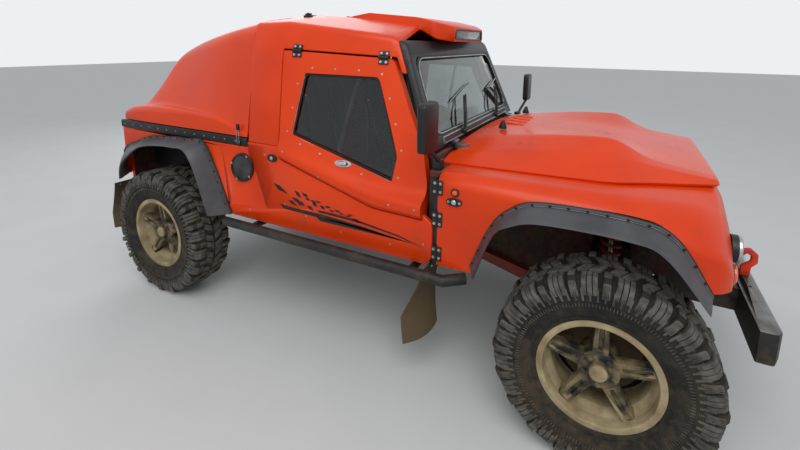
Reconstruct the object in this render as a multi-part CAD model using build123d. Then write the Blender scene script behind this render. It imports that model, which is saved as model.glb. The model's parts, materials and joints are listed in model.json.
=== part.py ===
from build123d import *
from math import sin, cos, tan, radians
import os

os.makedirs("parts", exist_ok=True)

# A short-wheelbase rally car: a ladder frame with a roll cage, two live axles and a
# composite body. X points forward, Y to the car's left, Z up. The origin is on the
# ground, under the middle of the body. All sizes are in millimetres.

# Clearances, and how far a cutting solid reaches past what it cuts
running_gap = 0.05
seat_gap = 0.3
hinge_gap = 5
moving_gap = 6
shut_gap = 8
hinge_side_gap = 14
beyond = 400
short_beyond = 60

# Wheels and tyres
tyre_radius = 395
tyre_width = 255
lug_count = 20
lug_depth = 13
lug_width = 27
wheel_mid_y = 820
rim_flange_radius = 221
rim_bead_radius = 205
rim_well_radius = 176
rim_width = 210
rim_wall = 9
spoke_count = 5
spoke_width = 52
spoke_root_width = 66
hub_radius = 74
hub_cap_radius = 36
hub_cap_height = 22
nut_circle_radius = 56
nut_radius = 11
spindle_radius = 27
axle_z = tyre_radius
hub_outer_y = wheel_mid_y + 62
hub_inner_y = wheel_mid_y - 72

# Whole vehicle
wheelbase = 2540
front_overhang = 570
rear_overhang = 470
half_length = (wheelbase + front_overhang + rear_overhang) / 2
front_axle_x = half_length - front_overhang
rear_axle_x = front_axle_x - wheelbase
tail_clearance = 25
tail_x = rear_axle_x - tyre_radius - tail_clearance
nose_x = front_axle_x + 390

# Axles and steering
axle_tube_radius = 42
kingpin_y = 676
kingpin_radius = 14
kingpin_engagement = 30
knuckle_half_height = 78
yoke_ear = 28
diff_radius = 125
front_diff_y = 130
rear_diff_y = -90
steering_rake = 25
steering_ring_radius = 165
steering_grip_radius = 15
column_radius = 16

# Frame
rail_mid_y = 345
rail_width = 60
rail_height = 100
rail_low_z = 500
rail_kick = 75
rail_outer_y = rail_mid_y + rail_width / 2
member_height = 60
member_length = 50
mid_member_x = rear_axle_x + 1580
tow_eye_radius = 14
tow_eye_width = 24
tow_eye_reach = 72
floor_wall = 16
tub_wall = 12
tub_z = 735

# Springs and links
damper_y = 455
spring_radius = 38
damper_seat = 62
tower_plate = 20
front_tower_z = 780
rear_tower_z = 700
link_y = 445
link_height = 44
link_reach = 72
link_length = 588

# Engine and shafts
engine_length = 560
engine_half_width = 230
engine_top_z = 1010
shaft_radius = 32

# Body planes and walls
body_half_width = 832
panel_wall = 30
shell_wall = 18
door_wall = 42
sill_z = 602
belt_z = 1022
deck_z = 1075
liner_y = body_half_width - panel_wall - seat_gap
tub_inner_y = body_half_width - 192

# Stations along the body
seam_x = rear_axle_x + 735
door_rear_x = seam_x + 220
door_front_x = door_rear_x + 826
post_x = door_front_x + 20
panel_front_x = door_front_x + 50
wing_rear_x = panel_front_x + 24
screen_foot_x = door_front_x - 16
screen_foot_z = 1150
screen_rake = 0.391
screen_height = 373
screen_low_z = 1096
screen_low_half = 654
screen_high_half = 597
screen_frame_depth = 35

# Cab outline at each station: x, foot_y, waist_y, ridge_y, ridge_z, crown_z
foot_z = 1050
waist_z = 1507
crown_half_width = 360
crown_drop = 12
cab_stations = [
    (seam_x, 834, 775, 727, 1688, 1750),
    (door_rear_x, 833, 774, 722, 1690, 1755),
    (door_rear_x + 565, 763, 670, 650, 1618, 1692),
    (door_front_x - 161, 752, 651, 626, 1572, 1640),
    (door_front_x + 24, 735, 618, 596, 1540, 1600),
]

# Roof pod and its lamp bar
pod_rear_x = door_rear_x + 65
pod_corner_x = screen_foot_x - 145
pod_front_x = screen_foot_x - 75
pod_half_width = 350
pod_front_half = 240
pod_top_z = 1757
lamp_bar_half = 226
lamp_bar_height = 58
lamp_bar_depth = 40
lamp_bar_mid_z = 1636

# Door outline at each station: x, bulge_low_z, bulge_top_z, ledge_y, mid_y, waist_y
bulge_reach = 18
door_mid_z = 1094
door_top_z = 1545
door_top_front_z = 1512
door_stations = [
    (door_rear_x, 988, 1045, 833, 827, 774),
    (door_rear_x + 565, 824, 903, 800, 757, 670),
    (door_front_x, 816, 893, 776, 735, 622),
]
window_offsets = [(128, 445), (515, 437), (530, 421), (659, 75), (648, -41), (72, 132)]
window_outline = [(door_rear_x + dx, 988 + dz) for dx, dz in window_offsets]
glass_depth = 14
glass_thickness = 5

# Door hinges, on one line from rear to front above each door
hinge_pin_radius = 4
hinge_barrel_radius = 7
hinge_length = 50
hinge_reach = 32
door_hinge_rear = (door_rear_x + 80, 762, door_top_z)
door_hinge_front = (door_rear_x + 541, 682, door_top_front_z + 7)
skin_tilt = 0.27

# Scuttle and bonnet hinges
scuttle_half_width = body_half_width - 142
scuttle_top_z = 1040
scuttle_low_z = 1035
scuttle_high_z = 1086
web_height = 34
cabin_front_x = screen_foot_x - 50
bonnet_rear_x = screen_foot_x + 45
bonnet_pin_x = bonnet_rear_x - 6
bonnet_pin_z = 1106
bonnet_pin_radius = 6
bonnet_barrel_radius = 12
bonnet_hinge_y = 500
bonnet_hinge_half = 40
bonnet_arm_half = 20

# Rear canopy at each share of its length: share, haunch_y, haunch_z, foot_y, ridge_y, ridge_z, crown_z
canopy_front_x = seam_x - moving_gap
canopy_stations = [
    (0, 834, 1086, 830, 727, 1688, 1750),
    (0.2776, 829, 1165, 800, 700, 1628, 1708),
    (0.6519, 826, 1180, 752, 640, 1515, 1580),
    (0.9130, 820, 1156, 730, 690, 1190, 1205),
    (1, 806, 1126, 720, 680, 1130, 1134),
]
canopy_pin_x = seam_x - moving_gap / 2
canopy_pin_z = 1748
canopy_hinge_y = 250

# Bonnet at each share of its length: share, edge_y, crease_y, crease_z, hump_z, valley_z
bonnet_front_x = front_axle_x + 361
bonnet_wall = 14
bonnet_edge_z = 1050
hump_y = 395
valley_y = 190
louvre_ys = (-126, -42, 42, 126)
louvre_half_width = 15
bonnet_stations = [
    (0, 684, 600, 1066, 1096, 1106),
    (0.147, 674, 560, 1096, 1138, 1156),
    (0.614, 640, 500, 1132, 1186, 1142),
    (0.788, 560, 462, 1094, 1106, 1104),
    (1, 460, 440, 1062, 1066, 1068),
]

# Front wing at each share of its length: share, inner_y, shoulder_y, shoulder_z, side_y, side_z
wing_top_z = 1043
wing_low_z = 619
nose_low_z = 752
wing_stations = [
    (0, 640, 790, 1042, 832, 1004),
    (0.4326, 600, 770, 1040, 832, 985),
    (0.7116, 505, 735, 1028, 830, 955),
    (0.8837, 450, 690, 1008, 814, 915),
    (0.9581, 425, 650, 975, 784, 872),
    (1, 415, 620, 905, 740, 800),
]

# Wheel arch flares, as offsets from their axle: body edge, then lip edge
flare_lip_y = body_half_width + 106
flare_bead_y = body_half_width + 22
flare_bead_share = 0.16
flare_wall = 14
front_flare_body = [(-529, 650), (-456, 836), (-385, 930), (-260, 988), (60, 988), (200, 938), (326, 750)]
front_flare_lip = [(-484, 655), (-415, 850), (-350, 908), (-235, 942), (50, 942), (165, 905), (300, 745)]
rear_flare_body = [(-418, 700), (-395, 880), (-265, 940), (-90, 992), (240, 1014), (400, 985), (576, 605)]
rear_flare_lip = [(-335, 700), (-305, 800), (-165, 905), (-30, 955), (205, 976), (360, 940), (495, 612)]

# Intake recess in each rear side, and the mesh vent in it
recess_depth = 22
recess_top_z = 1020
recess_low_z = 633
recess_outline = [(seam_x - 193, 1012), (seam_x - 33, 1015), (seam_x + 76, 689), (seam_x - 177, 653)]
vent_x = seam_x - 78
vent_z = 888
vent_plate = 6
vent_offsets = [(-62, 8), (4, 84), (58, 30), (18, -80)]
vent_radii = [28, 22, 26, 30]

# Bumper, side tubes, flaps and tail
bumper_depth = 78
bumper_height = 125
bumper_top_z = 603
bumper_half_width = 690
lamp_hole_y = 350
lamp_hole_radius = 5.25
fairlead_half = 95
fairlead_reach = 22
hook_y = -250
hook_width = 18
slider_radius = 25
slider_y = body_half_width + 60
slider_z = 585
slider_stay_z = 574
slider_stay_radius = 18
flap_wall = 7
flap_inner_y = body_half_width - 132
tail_low_z = 640

# Nose and lamps
grille_low_z = 640
grille_top_z = 1018
grille_half = 412
grille_border = 24
grille_depth = 26
slat_count = 8
radiator_depth = 60
lamp_y = 600
headlamp_z = 855
headlamp_radius = 50
headlamp_reach = 38
indicator_z = 754
indicator_radius = 44
tail_lamp_y = 700
tail_lamp_z = 950
tail_lamp_radius = 48
tail_lamp_reach = 30

# Cabin
cage_radius = 22
hoop_x = door_rear_x - 80
cage_front_x = screen_foot_x - 232
cage_leg_x = screen_foot_x - 95
cage_foot_y = body_half_width - 92
cage_top_z = 1640
firewall_wall = 16
bulkhead_x = seam_x + 40
seat_y = 330
seat_half_width = 230
seat_side_wall = 40
steering_centre = (door_rear_x + 440, -330, 1045)
mirror_x = screen_foot_x + 70
mirror_y = body_half_width + 113
mirror_z = 1260
mirror_half_width = 65
mirror_half_height = 100
mirror_depth = 36
mirror_rim = 9


def face_of(points, radius=0):
    """A flat face with its corners rounded: radius is one value or one for each corner."""
    corners = [Vector(*point) for point in points]
    count = len(corners)
    radii = [radius] * count if isinstance(radius, (int, float)) else list(radius)
    starts, middles, ends = [], [], []
    for index, corner in enumerate(corners):
        back = (corners[index - 1] - corner).normalized()
        ahead = (corners[(index + 1) % count] - corner).normalized()
        if radii[index] == 0:
            starts.append(corner)
            middles.append(None)
            ends.append(corner)
            continue
        half_angle = radians(back.get_angle(ahead)) / 2
        reach = radii[index] / tan(half_angle)
        inward = (back + ahead).normalized()
        starts.append(corner + back * reach)
        middles.append(corner + inward * (radii[index] / sin(half_angle) - radii[index]))
        ends.append(corner + ahead * reach)
    edges = []
    for index in range(count):
        if middles[index] is not None:
            edges.append(Edge.make_three_point_arc(starts[index], middles[index], ends[index]))
        following = starts[(index + 1) % count]
        if (following - ends[index]).length > 0.01:
            edges.append(Edge.make_line(ends[index], following))
    return Face(Wire(edges))


def prism_y(outline, y0, y1, radius=0):
    """A side-view outline of (x, z) points, from y0 to y1."""
    return Solid.extrude(face_of([(x, y0, z) for x, z in outline], radius), Vector(0, y1 - y0, 0))


def prism_x(outline, x0, x1, radius=0):
    """A front-view outline of (y, z) points, from x0 to x1."""
    return Solid.extrude(face_of([(x0, y, z) for y, z in outline], radius), Vector(x1 - x0, 0, 0))


def prism_z(outline, z0, z1, radius=0):
    """A plan outline of (x, y) points, from z0 to z1."""
    return Solid.extrude(face_of([(x, y, z0) for x, y in outline], radius), Vector(0, 0, z1 - z0))


def block(x0, x1, y0, y1, z0, z1):
    low_x, high_x = sorted((x0, x1))
    low_y, high_y = sorted((y0, y1))
    return prism_z([(low_x, low_y), (high_x, low_y), (high_x, high_y), (low_x, high_y)], z0, z1)


def rod(start, end, radius):
    """A round bar between two points."""
    start, end = Vector(*start), Vector(*end)
    return Solid.make_cylinder(radius, (end - start).length, Plane(origin=start, z_dir=end - start))


def mirrored(shape):
    return shape.mirror(Plane.XZ)


def both(*shapes):
    """The shapes and their copies on the car's other side, as one node."""
    return Compound(children=[*shapes, *(mirrored(shape) for shape in shapes)])


def fused(*shapes):
    first, *others = shapes
    return first + others if others else first


def closed_half(half):
    """A section's left half, joined to its copy on the right."""
    return half + [(x, -y, z) for x, y, z in reversed(half)]


def loft_of(sections, radius=0):
    """A ruled loft through closed sections, each a list of points."""
    return Solid.make_loft([face_of(points, radius).outer_wire() for points in sections], ruled=True)


def bent_tube(points, radius, bend):
    """A round tube along straight runs joined by bends."""
    path = FilletPolyline(*points, radius=bend)
    start = Vector(*points[0])
    section = Plane(origin=start, z_dir=Vector(*points[1]) - start) * Circle(radius)
    return sweep(section, path=path)


def turned(profile):
    """A solid of (radius, y) points turned about the Y axis."""
    face = face_of([(r, y, 0) for r, y in profile])
    return Solid.revolve(face, 360, Axis((0, 0, 0), (0, 1, 0)))


def leaf_hinge(place, length):
    """The two halves of a hinge on a place's X axis. Y points to the moving half, Z outward."""
    half, inner = length / 2, length / 4
    ear_start = inner + 1
    near, far = hinge_barrel_radius + hinge_gap, hinge_reach
    low, high = -near - 4, 3 - hinge_barrel_radius
    start, end = (-half, 0, 0), (half, 0, 0)
    fixed = [rod(start, end, hinge_pin_radius), block(-half, half, -far, -near, low, high)]
    for side in (1, -1):
        fixed.append(rod((side * ear_start, 0, 0), (side * half, 0, 0), hinge_barrel_radius))
        fixed.append(block(side * ear_start, side * half, -near - 1, 0, 1 - near, 0))
    moving = fused(
        rod((-inner, 0, 0), (inner, 0, 0), hinge_barrel_radius),
        block(-inner, inner, 0, near + 1, 1 - near, 0),
        block(-half, half, near, far, low, high),
    )
    moving = moving - rod(start, end, hinge_pin_radius + running_gap)
    return fused(*fixed).moved(place.location), moving.moved(place.location)


def screen_x(z):
    """The windscreen's outer face at a height."""
    return screen_foot_x - (z - screen_foot_z) * screen_rake


def cab_volume(wall):
    """The space inside the cab's outer skin, or inside its wall, which opens downward."""
    low_z = foot_z - short_beyond if wall > 0 else foot_z
    ridge_round = 25 if wall > 0 else 40
    sections = []
    for x, foot_y, waist_y, ridge_y, ridge_z, crown_z in cab_stations:
        half = [
            (x, foot_y - wall, low_z),
            (x, waist_y - wall, waist_z),
            (x, ridge_y - wall, ridge_z - wall),
            (x, crown_half_width, crown_z - crown_drop - wall),
        ]
        sections.append(closed_half(half))
    return loft_of(sections, [0, 0, ridge_round, 0, 0, ridge_round, 0, 0])


def door_region(top=0, rear=0, front=0):
    """The side-view outline of a door, grown by its gaps."""
    back, middle, nose = door_stations
    return [
        (door_rear_x - rear, back[1]),
        (door_rear_x - rear, door_top_z + top),
        (door_rear_x + 587 + front, door_top_front_z + top),
        (door_rear_x + 687 + front, 1291),
        (door_rear_x + 786 + front, door_mid_z),
        (door_front_x - 6 + front, 960),
        (door_front_x + front, nose[1]),
        (middle[0], middle[1]),
    ]


def window_prism():
    return prism_y(window_outline, beyond, body_half_width + beyond, [15, 12, 12, 12, 12, 15])


def door_skin(depth_out, depth_in):
    """The door's skin between two depths below its outer face."""
    side = body_half_width
    bulge_y = side + bulge_reach - depth_out
    sections = []
    for x, low_z, top_z, ledge_y, mid_y, waist_y in door_stations:
        sections.append([
            (x, side - depth_out, low_z),
            (x, bulge_y, low_z + 14),
            (x, bulge_y, top_z - 16),
            (x, min(side + 6, ledge_y + 30) - depth_out, top_z - 5),
            (x, ledge_y - depth_out, top_z + 6),
            (x, mid_y - depth_out, door_mid_z),
            (x, waist_y - depth_out, waist_z),
            (x, waist_y - 7 - depth_out, door_top_z),
            (x, waist_y - 7 - depth_in, door_top_z),
            (x, waist_y - depth_in, waist_z),
            (x, mid_y - depth_in, door_mid_z),
            (x, ledge_y - depth_in, top_z + 6),
            (x, side - depth_in, low_z),
        ])
    return loft_of(sections)


def door_hinges():
    """The left door's hinges: Y points down the door from their common line."""
    start, end = Vector(*door_hinge_rear), Vector(*door_hinge_front)
    along = (end - start).normalized()
    outward = Vector(0, -skin_tilt, 1).cross(along).normalized()
    places = [Plane(origin=point, x_dir=along, z_dir=outward) for point in (start, end)]
    return [leaf_hinge(place, hinge_length) for place in places]


def make_door():
    region = prism_y(door_region(), beyond, body_half_width + beyond, [0, 12, 30, 0, 0, 0, 0, 0])
    door = (door_skin(0, door_wall) & region) - window_prism()
    return fused(door, *(moving for fixed, moving in door_hinges()))


def make_door_glass():
    return door_skin(glass_depth, glass_depth + glass_thickness) & window_prism()


def make_roof():
    """The roof with the panels behind the doors and the posts above the windscreen's sides."""
    shell = cab_volume(0) - cab_volume(shell_wall)
    width = body_half_width + beyond
    for side in (1, -1):
        opening = door_region(shut_gap, shut_gap, hinge_side_gap)
        shell = shell - prism_y(opening, side * beyond, side * width)
    low_x, low_z = door_rear_x + 20, foot_z - short_beyond
    low = [(low_x, low_z), (nose_x, low_z), (nose_x, 1445), (low_x, 1445)]
    high_z = pod_top_z + short_beyond
    ahead = [
        (screen_x(low_z) - screen_frame_depth, low_z),
        (nose_x, low_z),
        (nose_x, high_z),
        (screen_x(high_z) - screen_frame_depth, high_z),
    ]
    shell = shell - prism_y(low, -width, width) - prism_y(ahead, -width, width)
    return fused(shell, make_roof_pod())


def make_roof_pod():
    """The raised centre of the roof, which carries the lamp bar at its front."""
    plan = [
        (pod_rear_x, 50 - pod_half_width),
        (pod_corner_x, -pod_half_width),
        (pod_front_x, -pod_front_half),
        (pod_front_x, pod_front_half),
        (pod_corner_x, pod_half_width),
        (pod_rear_x, pod_half_width - 50),
    ]
    side = [
        (pod_rear_x, pod_top_z - 22),
        (pod_rear_x + 165, pod_top_z),
        (pod_corner_x - 123, pod_top_z - 30),
        (pod_corner_x - 3, pod_top_z - 57),
        (pod_front_x, pod_top_z - 85),
        (pod_front_x - 4, pod_top_z - 159),
        (pod_corner_x, pod_top_z - 177),
        (pod_corner_x - 120, pod_top_z - 157),
    ]
    pod = prism_z(plan, waist_z, pod_top_z + short_beyond, [60, 60, 40, 40, 60, 60])
    pod = pod & prism_y(side, -pod_half_width - 1, pod_half_width + 1)
    low_z = lamp_bar_mid_z - lamp_bar_height / 2
    high_z = lamp_bar_mid_z + lamp_bar_height / 2
    back_x = pod_front_x - lamp_bar_depth
    recess = block(back_x, pod_front_x + 1, -lamp_bar_half, lamp_bar_half, low_z, high_z)
    return pod - recess - cab_volume(shell_wall)


def make_lamp_bar():
    half = lamp_bar_half - seat_gap
    low_z = lamp_bar_mid_z - lamp_bar_height / 2 + seat_gap
    high_z = lamp_bar_mid_z + lamp_bar_height / 2 - seat_gap
    return block(pod_front_x - lamp_bar_depth + seat_gap, pod_front_x - 8, -half, half, low_z, high_z)


def screen_prism(depth0, depth1):
    """The windscreen opening as a solid across the screen plane."""
    normal = Vector(1, 0, screen_rake).normalized()
    high_z = screen_foot_z + screen_height
    outline = [
        (-screen_low_half, screen_foot_z),
        (screen_low_half, screen_foot_z),
        (screen_high_half, high_z),
        (-screen_high_half, high_z),
    ]
    face = face_of([(screen_x(z), y, z) for y, z in outline], 60)
    return Solid.extrude(face.moved(Location(normal * depth0)), normal * (depth1 - depth0))


def make_windscreen_frame():
    """The frame round the glass, with the pillars between it and the doors."""
    depth = screen_frame_depth
    width = body_half_width
    top_z = screen_foot_z + screen_height + 77
    slab = [
        (screen_x(screen_low_z), screen_low_z),
        (screen_x(top_z), top_z),
        (screen_x(top_z) - depth, top_z),
        (screen_x(screen_low_z) - depth, screen_low_z),
    ]
    frame = (prism_y(slab, -width, width) & cab_volume(0)) - screen_prism(-2 * depth, 2 * depth)
    pillar = [
        (door_rear_x + 786 + hinge_side_gap, door_mid_z),
        (screen_x(door_mid_z) - depth, door_mid_z),
        (screen_x(1444) - depth, 1444),
        (door_rear_x + 618 + hinge_side_gap, 1444),
    ]
    return fused(frame, (cab_volume(0) - cab_volume(shell_wall)) & prism_y(pillar, -width, width))


def make_scuttle():
    """The panel below the windscreen, with the webs that tie it to the hinge posts."""
    back_x, end_x = cabin_front_x, wing_rear_x - seat_gap
    inner_y, half = scuttle_half_width - 90, scuttle_half_width
    panel = block(back_x, bonnet_rear_x - shut_gap, -half, half, scuttle_low_z, scuttle_high_z)
    outline = [
        (back_x, inner_y),
        (back_x, half),
        (post_x, half),
        (post_x, liner_y),
        (end_x, liner_y),
        (end_x, inner_y),
    ]
    web = prism_z(outline, scuttle_top_z - web_height, scuttle_top_z)
    return fused(panel, web, mirrored(web))


def make_hinge_post():
    """The upright between the door and the wing, seen in the gap between them."""
    end_x, step_x = wing_rear_x - seat_gap, panel_front_x + seat_gap
    inner_y, face_y = liner_y - 62, body_half_width - 8
    outline = [
        (post_x, inner_y),
        (post_x, liner_y),
        (step_x, liner_y),
        (step_x, face_y),
        (end_x, face_y),
        (end_x, inner_y),
    ]
    return prism_z(outline, sill_z, scuttle_top_z - web_height - seat_gap)


def canopy_volume(wall):
    """The canopy's outer volume, or the space inside it, which opens forward and downward."""
    length = canopy_front_x - tail_x
    end_shifts = {0: short_beyond / 3, 1: wall} if wall else {}
    sections = []
    for share, haunch_y, haunch_z, foot_y, ridge_y, ridge_z, crown_z in canopy_stations:
        x = canopy_front_x - share * length + end_shifts.get(share, 0)
        half = [
            (x, haunch_y + 2 - wall, deck_z - wall * 2),
            (x, haunch_y - wall, haunch_z - wall),
            (x, foot_y - wall, haunch_z + 10 - wall),
            (x, ridge_y - wall, ridge_z - wall),
            (x, ridge_y / 2, crown_z - 10 - wall),
        ]
        sections.append(closed_half(half))
    return loft_of(sections)


def canopy_hinges():
    """Two hinges on the roof's rear edge. Y points back along the canopy."""
    places = [
        Plane(origin=(canopy_pin_x, y, canopy_pin_z), x_dir=(0, 1, 0), z_dir=(0, 0, 1))
        for y in (canopy_hinge_y, -canopy_hinge_y)
    ]
    return [leaf_hinge(place, hinge_length) for place in places]


def make_canopy():
    shell = canopy_volume(0) - canopy_volume(shell_wall)
    return fused(shell, *(moving for fixed, moving in canopy_hinges()))


def arch_prism(offsets, axle_x):
    low_z = axle_z - tyre_radius / 2
    points = [(axle_x + dx, z) for dx, z in offsets]
    points = [(points[0][0], low_z)] + points + [(points[-1][0], low_z)]
    return prism_y(points, beyond, body_half_width + beyond)


def make_body_side():
    """The lower body side, from the door's front edge to the tail, with the intake recess."""
    rear, middle, front = door_stations
    top_z = foot_z - seat_gap
    outline = [
        (tail_x, 700),
        (tail_x, belt_z),
        (seam_x - moving_gap, belt_z),
        (seam_x - moving_gap, top_z),
        (door_rear_x - shut_gap, top_z),
        (door_rear_x - shut_gap, rear[1] - shut_gap),
        (middle[0], middle[1] - shut_gap),
        (door_front_x, front[1] - shut_gap),
        (door_front_x, front[1] + 20),
        (panel_front_x, front[1] - 14),
        (panel_front_x, sill_z + 40),
        (panel_front_x - 30, sill_z),
        (rear_axle_x + 578, sill_z - 2),
    ]
    side = prism_y(outline, body_half_width - panel_wall, body_half_width)
    face_y = body_half_width + 1
    wedge = [(face_y, recess_top_z), (face_y, recess_low_z), (body_half_width - recess_depth, recess_low_z)]
    recess = prism_y(recess_outline, beyond, face_y, 12)
    recess = recess & prism_x(wedge, recess_outline[0][0] - 1, recess_outline[2][0] + 1)
    return side - arch_prism(rear_flare_body, rear_axle_x) - recess


def make_tail_panel():
    return block(tail_x, tail_x + panel_wall, -liner_y, liner_y, tail_low_z, belt_z)


def make_vent():
    """The rounded plate of mesh on the recess's sloping floor."""
    fall = (recess_depth + 1) / (recess_top_z - recess_low_z)
    floor_y = body_half_width + 1 + seat_gap
    points = [(vent_x + dx, vent_z + dz) for dx, dz in vent_offsets]
    face = face_of([(x, floor_y - (recess_top_z - z) * fall, z) for x, z in points], vent_radii)
    return Solid.extrude(face, Vector(0, vent_plate, -vent_plate * fall))


def make_strips():
    """The black rubber strip below the canopy, round both sides and the tail."""
    end_x, back_x = seam_x - shut_gap, tail_x - 4
    w = body_half_width + 4
    outline = [(back_x, -w), (end_x, -w), (end_x, w), (back_x, w)]
    outer = prism_z(outline, belt_z + seat_gap, deck_z - moving_gap)
    inner_w = body_half_width - panel_wall
    inner = block(tail_x + panel_wall - 4, end_x + 1, -inner_w, inner_w, belt_z, deck_z)
    return outer - inner


def flare_ring(offsets, axle_x, y, wall):
    """The closed outline of a flare at one depth, inset by a wall."""
    shrink = 1 - wall / 420
    points = [(axle_x + dx * shrink, y, z - wall) for dx, z in offsets]
    low_z = min(offsets[0][1], offsets[-1][1]) - 2 * short_beyond
    return points + [(points[-1][0], y, low_z), (points[0][0], y, low_z)]


def make_flare(body_edge, lip_edge, axle_x):
    """A rubber flare: a bead against the body, then the broad face out to its lip."""
    share = flare_bead_share
    bead_edge = [
        (b[0] + (a[0] - b[0]) * share, b[1] + (a[1] - b[1]) * share) for b, a in zip(body_edge, lip_edge)
    ]
    bead = loft_of([
        flare_ring(body_edge, axle_x, body_half_width + seat_gap, 0),
        flare_ring(body_edge, axle_x, flare_bead_y, 3),
    ])
    face = loft_of([
        flare_ring(bead_edge, axle_x, flare_bead_y, 3),
        flare_ring(lip_edge, axle_x, flare_lip_y, 0),
    ])
    inner = loft_of([
        flare_ring(body_edge, axle_x, body_half_width - panel_wall, flare_wall + 4),
        flare_ring(lip_edge, axle_x, flare_lip_y + 20, flare_wall),
    ])
    width = front_overhang + rear_overhang
    below = [
        (axle_x - width, axle_z),
        (axle_x + width, axle_z),
        (axle_x + width, body_edge[-1][1]),
        (axle_x, body_edge[-1][1]),
        (axle_x, body_edge[0][1]),
        (axle_x - width, body_edge[0][1]),
    ]
    return fused(bead, face) - inner - prism_y(below, beyond, body_half_width + beyond)


def wing_volume(wall):
    """The wing's outer volume, or the space inside it, which opens inboard, rearward and downward."""
    length = nose_x - wing_rear_x
    low_z = wing_low_z - short_beyond
    end_shifts = {0: -short_beyond / 3, 1: -wall} if wall else {}
    inboard = beyond / 2 if wall else 0
    sections = []
    for share, inner_y, shoulder_y, shoulder_z, side_y, side_z in wing_stations:
        x = wing_rear_x + share * length + end_shifts.get(share, 0)
        sections.append([
            (x, inner_y - inboard, low_z),
            (x, inner_y - inboard, min(wing_top_z, shoulder_z + 70) - wall),
            (x, shoulder_y - wall / 2, shoulder_z - wall),
            (x, side_y - wall, side_z - wall / 2),
            (x, side_y - wall, low_z),
        ])
    return loft_of(sections)


def make_wing():
    low_z = wing_low_z - 2 * short_beyond
    back_x, front_x = wing_rear_x - short_beyond, nose_x + short_beyond
    low = [
        (back_x, low_z),
        (front_x, low_z),
        (front_x, nose_low_z),
        (front_axle_x + 280, nose_low_z),
        (front_axle_x, wing_low_z),
        (back_x, wing_low_z),
    ]
    wing = wing_volume(0) - wing_volume(shell_wall)
    wing = wing - prism_y(low, beyond / 2, body_half_width + beyond)
    return wing - arch_prism(front_flare_body, front_axle_x)


def bonnet_volume(wall):
    """The bonnet's outer volume, or the space inside it, which opens rearward and downward."""
    length = bonnet_front_x - bonnet_rear_x
    end_shifts = {0: -short_beyond / 6, 1: -wall} if wall else {}
    sections = []
    for share, edge_y, crease_y, crease_z, hump_z, valley_z in bonnet_stations:
        x = bonnet_rear_x + share * length + end_shifts.get(share, 0)
        half = [
            (x, edge_y - wall, bonnet_edge_z - wall * 2),
            (x, crease_y - wall / 2, crease_z - wall),
            (x, hump_y, hump_z - wall),
            (x, valley_y, valley_z - wall),
        ]
        sections.append(closed_half(half))
    return loft_of(sections)


def bonnet_louvre(y):
    """A raised rib on the rear of the bonnet's flat centre."""
    rear_z, second_z = bonnet_stations[0][5], bonnet_stations[1][5]
    x = bonnet_rear_x + bonnet_stations[1][0] * (bonnet_front_x - bonnet_rear_x)
    outline = [
        (bonnet_rear_x + 14, rear_z - 4),
        (bonnet_rear_x + 30, rear_z + 18),
        (x, second_z + 11),
        (x + 86, second_z + 7),
        (x + 100, second_z - 8),
        (x, second_z - 6),
    ]
    return prism_y(outline, y - louvre_half_width, y + louvre_half_width)


def make_bonnet():
    """The bonnet's shell, notched at its rear corners for the two hinge arms."""
    bonnet = bonnet_volume(0) - bonnet_volume(bonnet_wall)
    notch_x, x, z = bonnet_rear_x + 16, bonnet_pin_x, bonnet_pin_z
    half, arm_half = bonnet_hinge_half + moving_gap, bonnet_arm_half
    arms = []
    for y in (bonnet_hinge_y, -bonnet_hinge_y):
        bonnet = bonnet - block(x - short_beyond, notch_x, y - half, y + half, z - 80, z + 80)
        barrel = rod((x, y - arm_half, z), (x, y + arm_half, z), bonnet_barrel_radius)
        arm = block(x + 6, notch_x + 40, y - arm_half, y + arm_half, z - 28, z - 2)
        arms.append(fused(arm, barrel) - rod((x, y - half, z), (x, y + half, z), bonnet_pin_radius + running_gap))
    return fused(bonnet, *arms, *(bonnet_louvre(y) for y in louvre_ys))


def make_bonnet_bracket(y):
    """The fixed half of a bonnet hinge: a foot on the scuttle, two ears and the pin."""
    x, z = bonnet_pin_x, bonnet_pin_z
    low_z = scuttle_high_z + seat_gap
    half = bonnet_hinge_half
    pieces = [rod((x, y - half, z), (x, y + half, z), bonnet_pin_radius)]
    pieces.append(block(x - 34, x - 12, y - half, y + half, low_z, low_z + 5))
    for side in (1, -1):
        inner, outer = y + side * (bonnet_arm_half + 2), y + side * half
        pieces.append(rod((x, inner, z), (x, outer, z), bonnet_barrel_radius - 1))
        pieces.append(block(x - 13, x - 2, inner, outer, low_z, z + 8))
    return fused(*pieces)


def make_hinges():
    """The fixed halves of all hinges, trimmed to the skin they stand on."""
    skin = cab_volume(-seat_gap)
    doors = [fixed - skin for fixed, moving in door_hinges()]
    canopy = [fixed - skin for fixed, moving in canopy_hinges()]
    brackets = [make_bonnet_bracket(y) for y in (bonnet_hinge_y, -bonnet_hinge_y)]
    return Compound(children=[*doors, *(mirrored(shape) for shape in doors), *canopy, *brackets])


def make_grille():
    """A frame with slats that lean forward, ahead of the radiator."""
    x = bonnet_front_x - 12
    half, inner = grille_half, grille_half - grille_border
    low_z, high_z = grille_low_z + grille_border, grille_top_z - grille_border
    frame = block(x - grille_depth, x, -half, half, grille_low_z, grille_top_z)
    frame = frame - block(x - beyond, x + beyond, -inner, inner, low_z, high_z)
    pitch = (high_z - low_z) / slat_count
    slats = []
    for index in range(slat_count):
        z = low_z + (index + 0.5) * pitch
        outline = [(x - grille_depth, z - 4), (x + 16, z - 14), (x + 16, z - 8), (x - grille_depth, z + 4)]
        slats.append(prism_y(outline, -inner - 4, inner + 4))
    return fused(frame, *slats)


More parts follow.
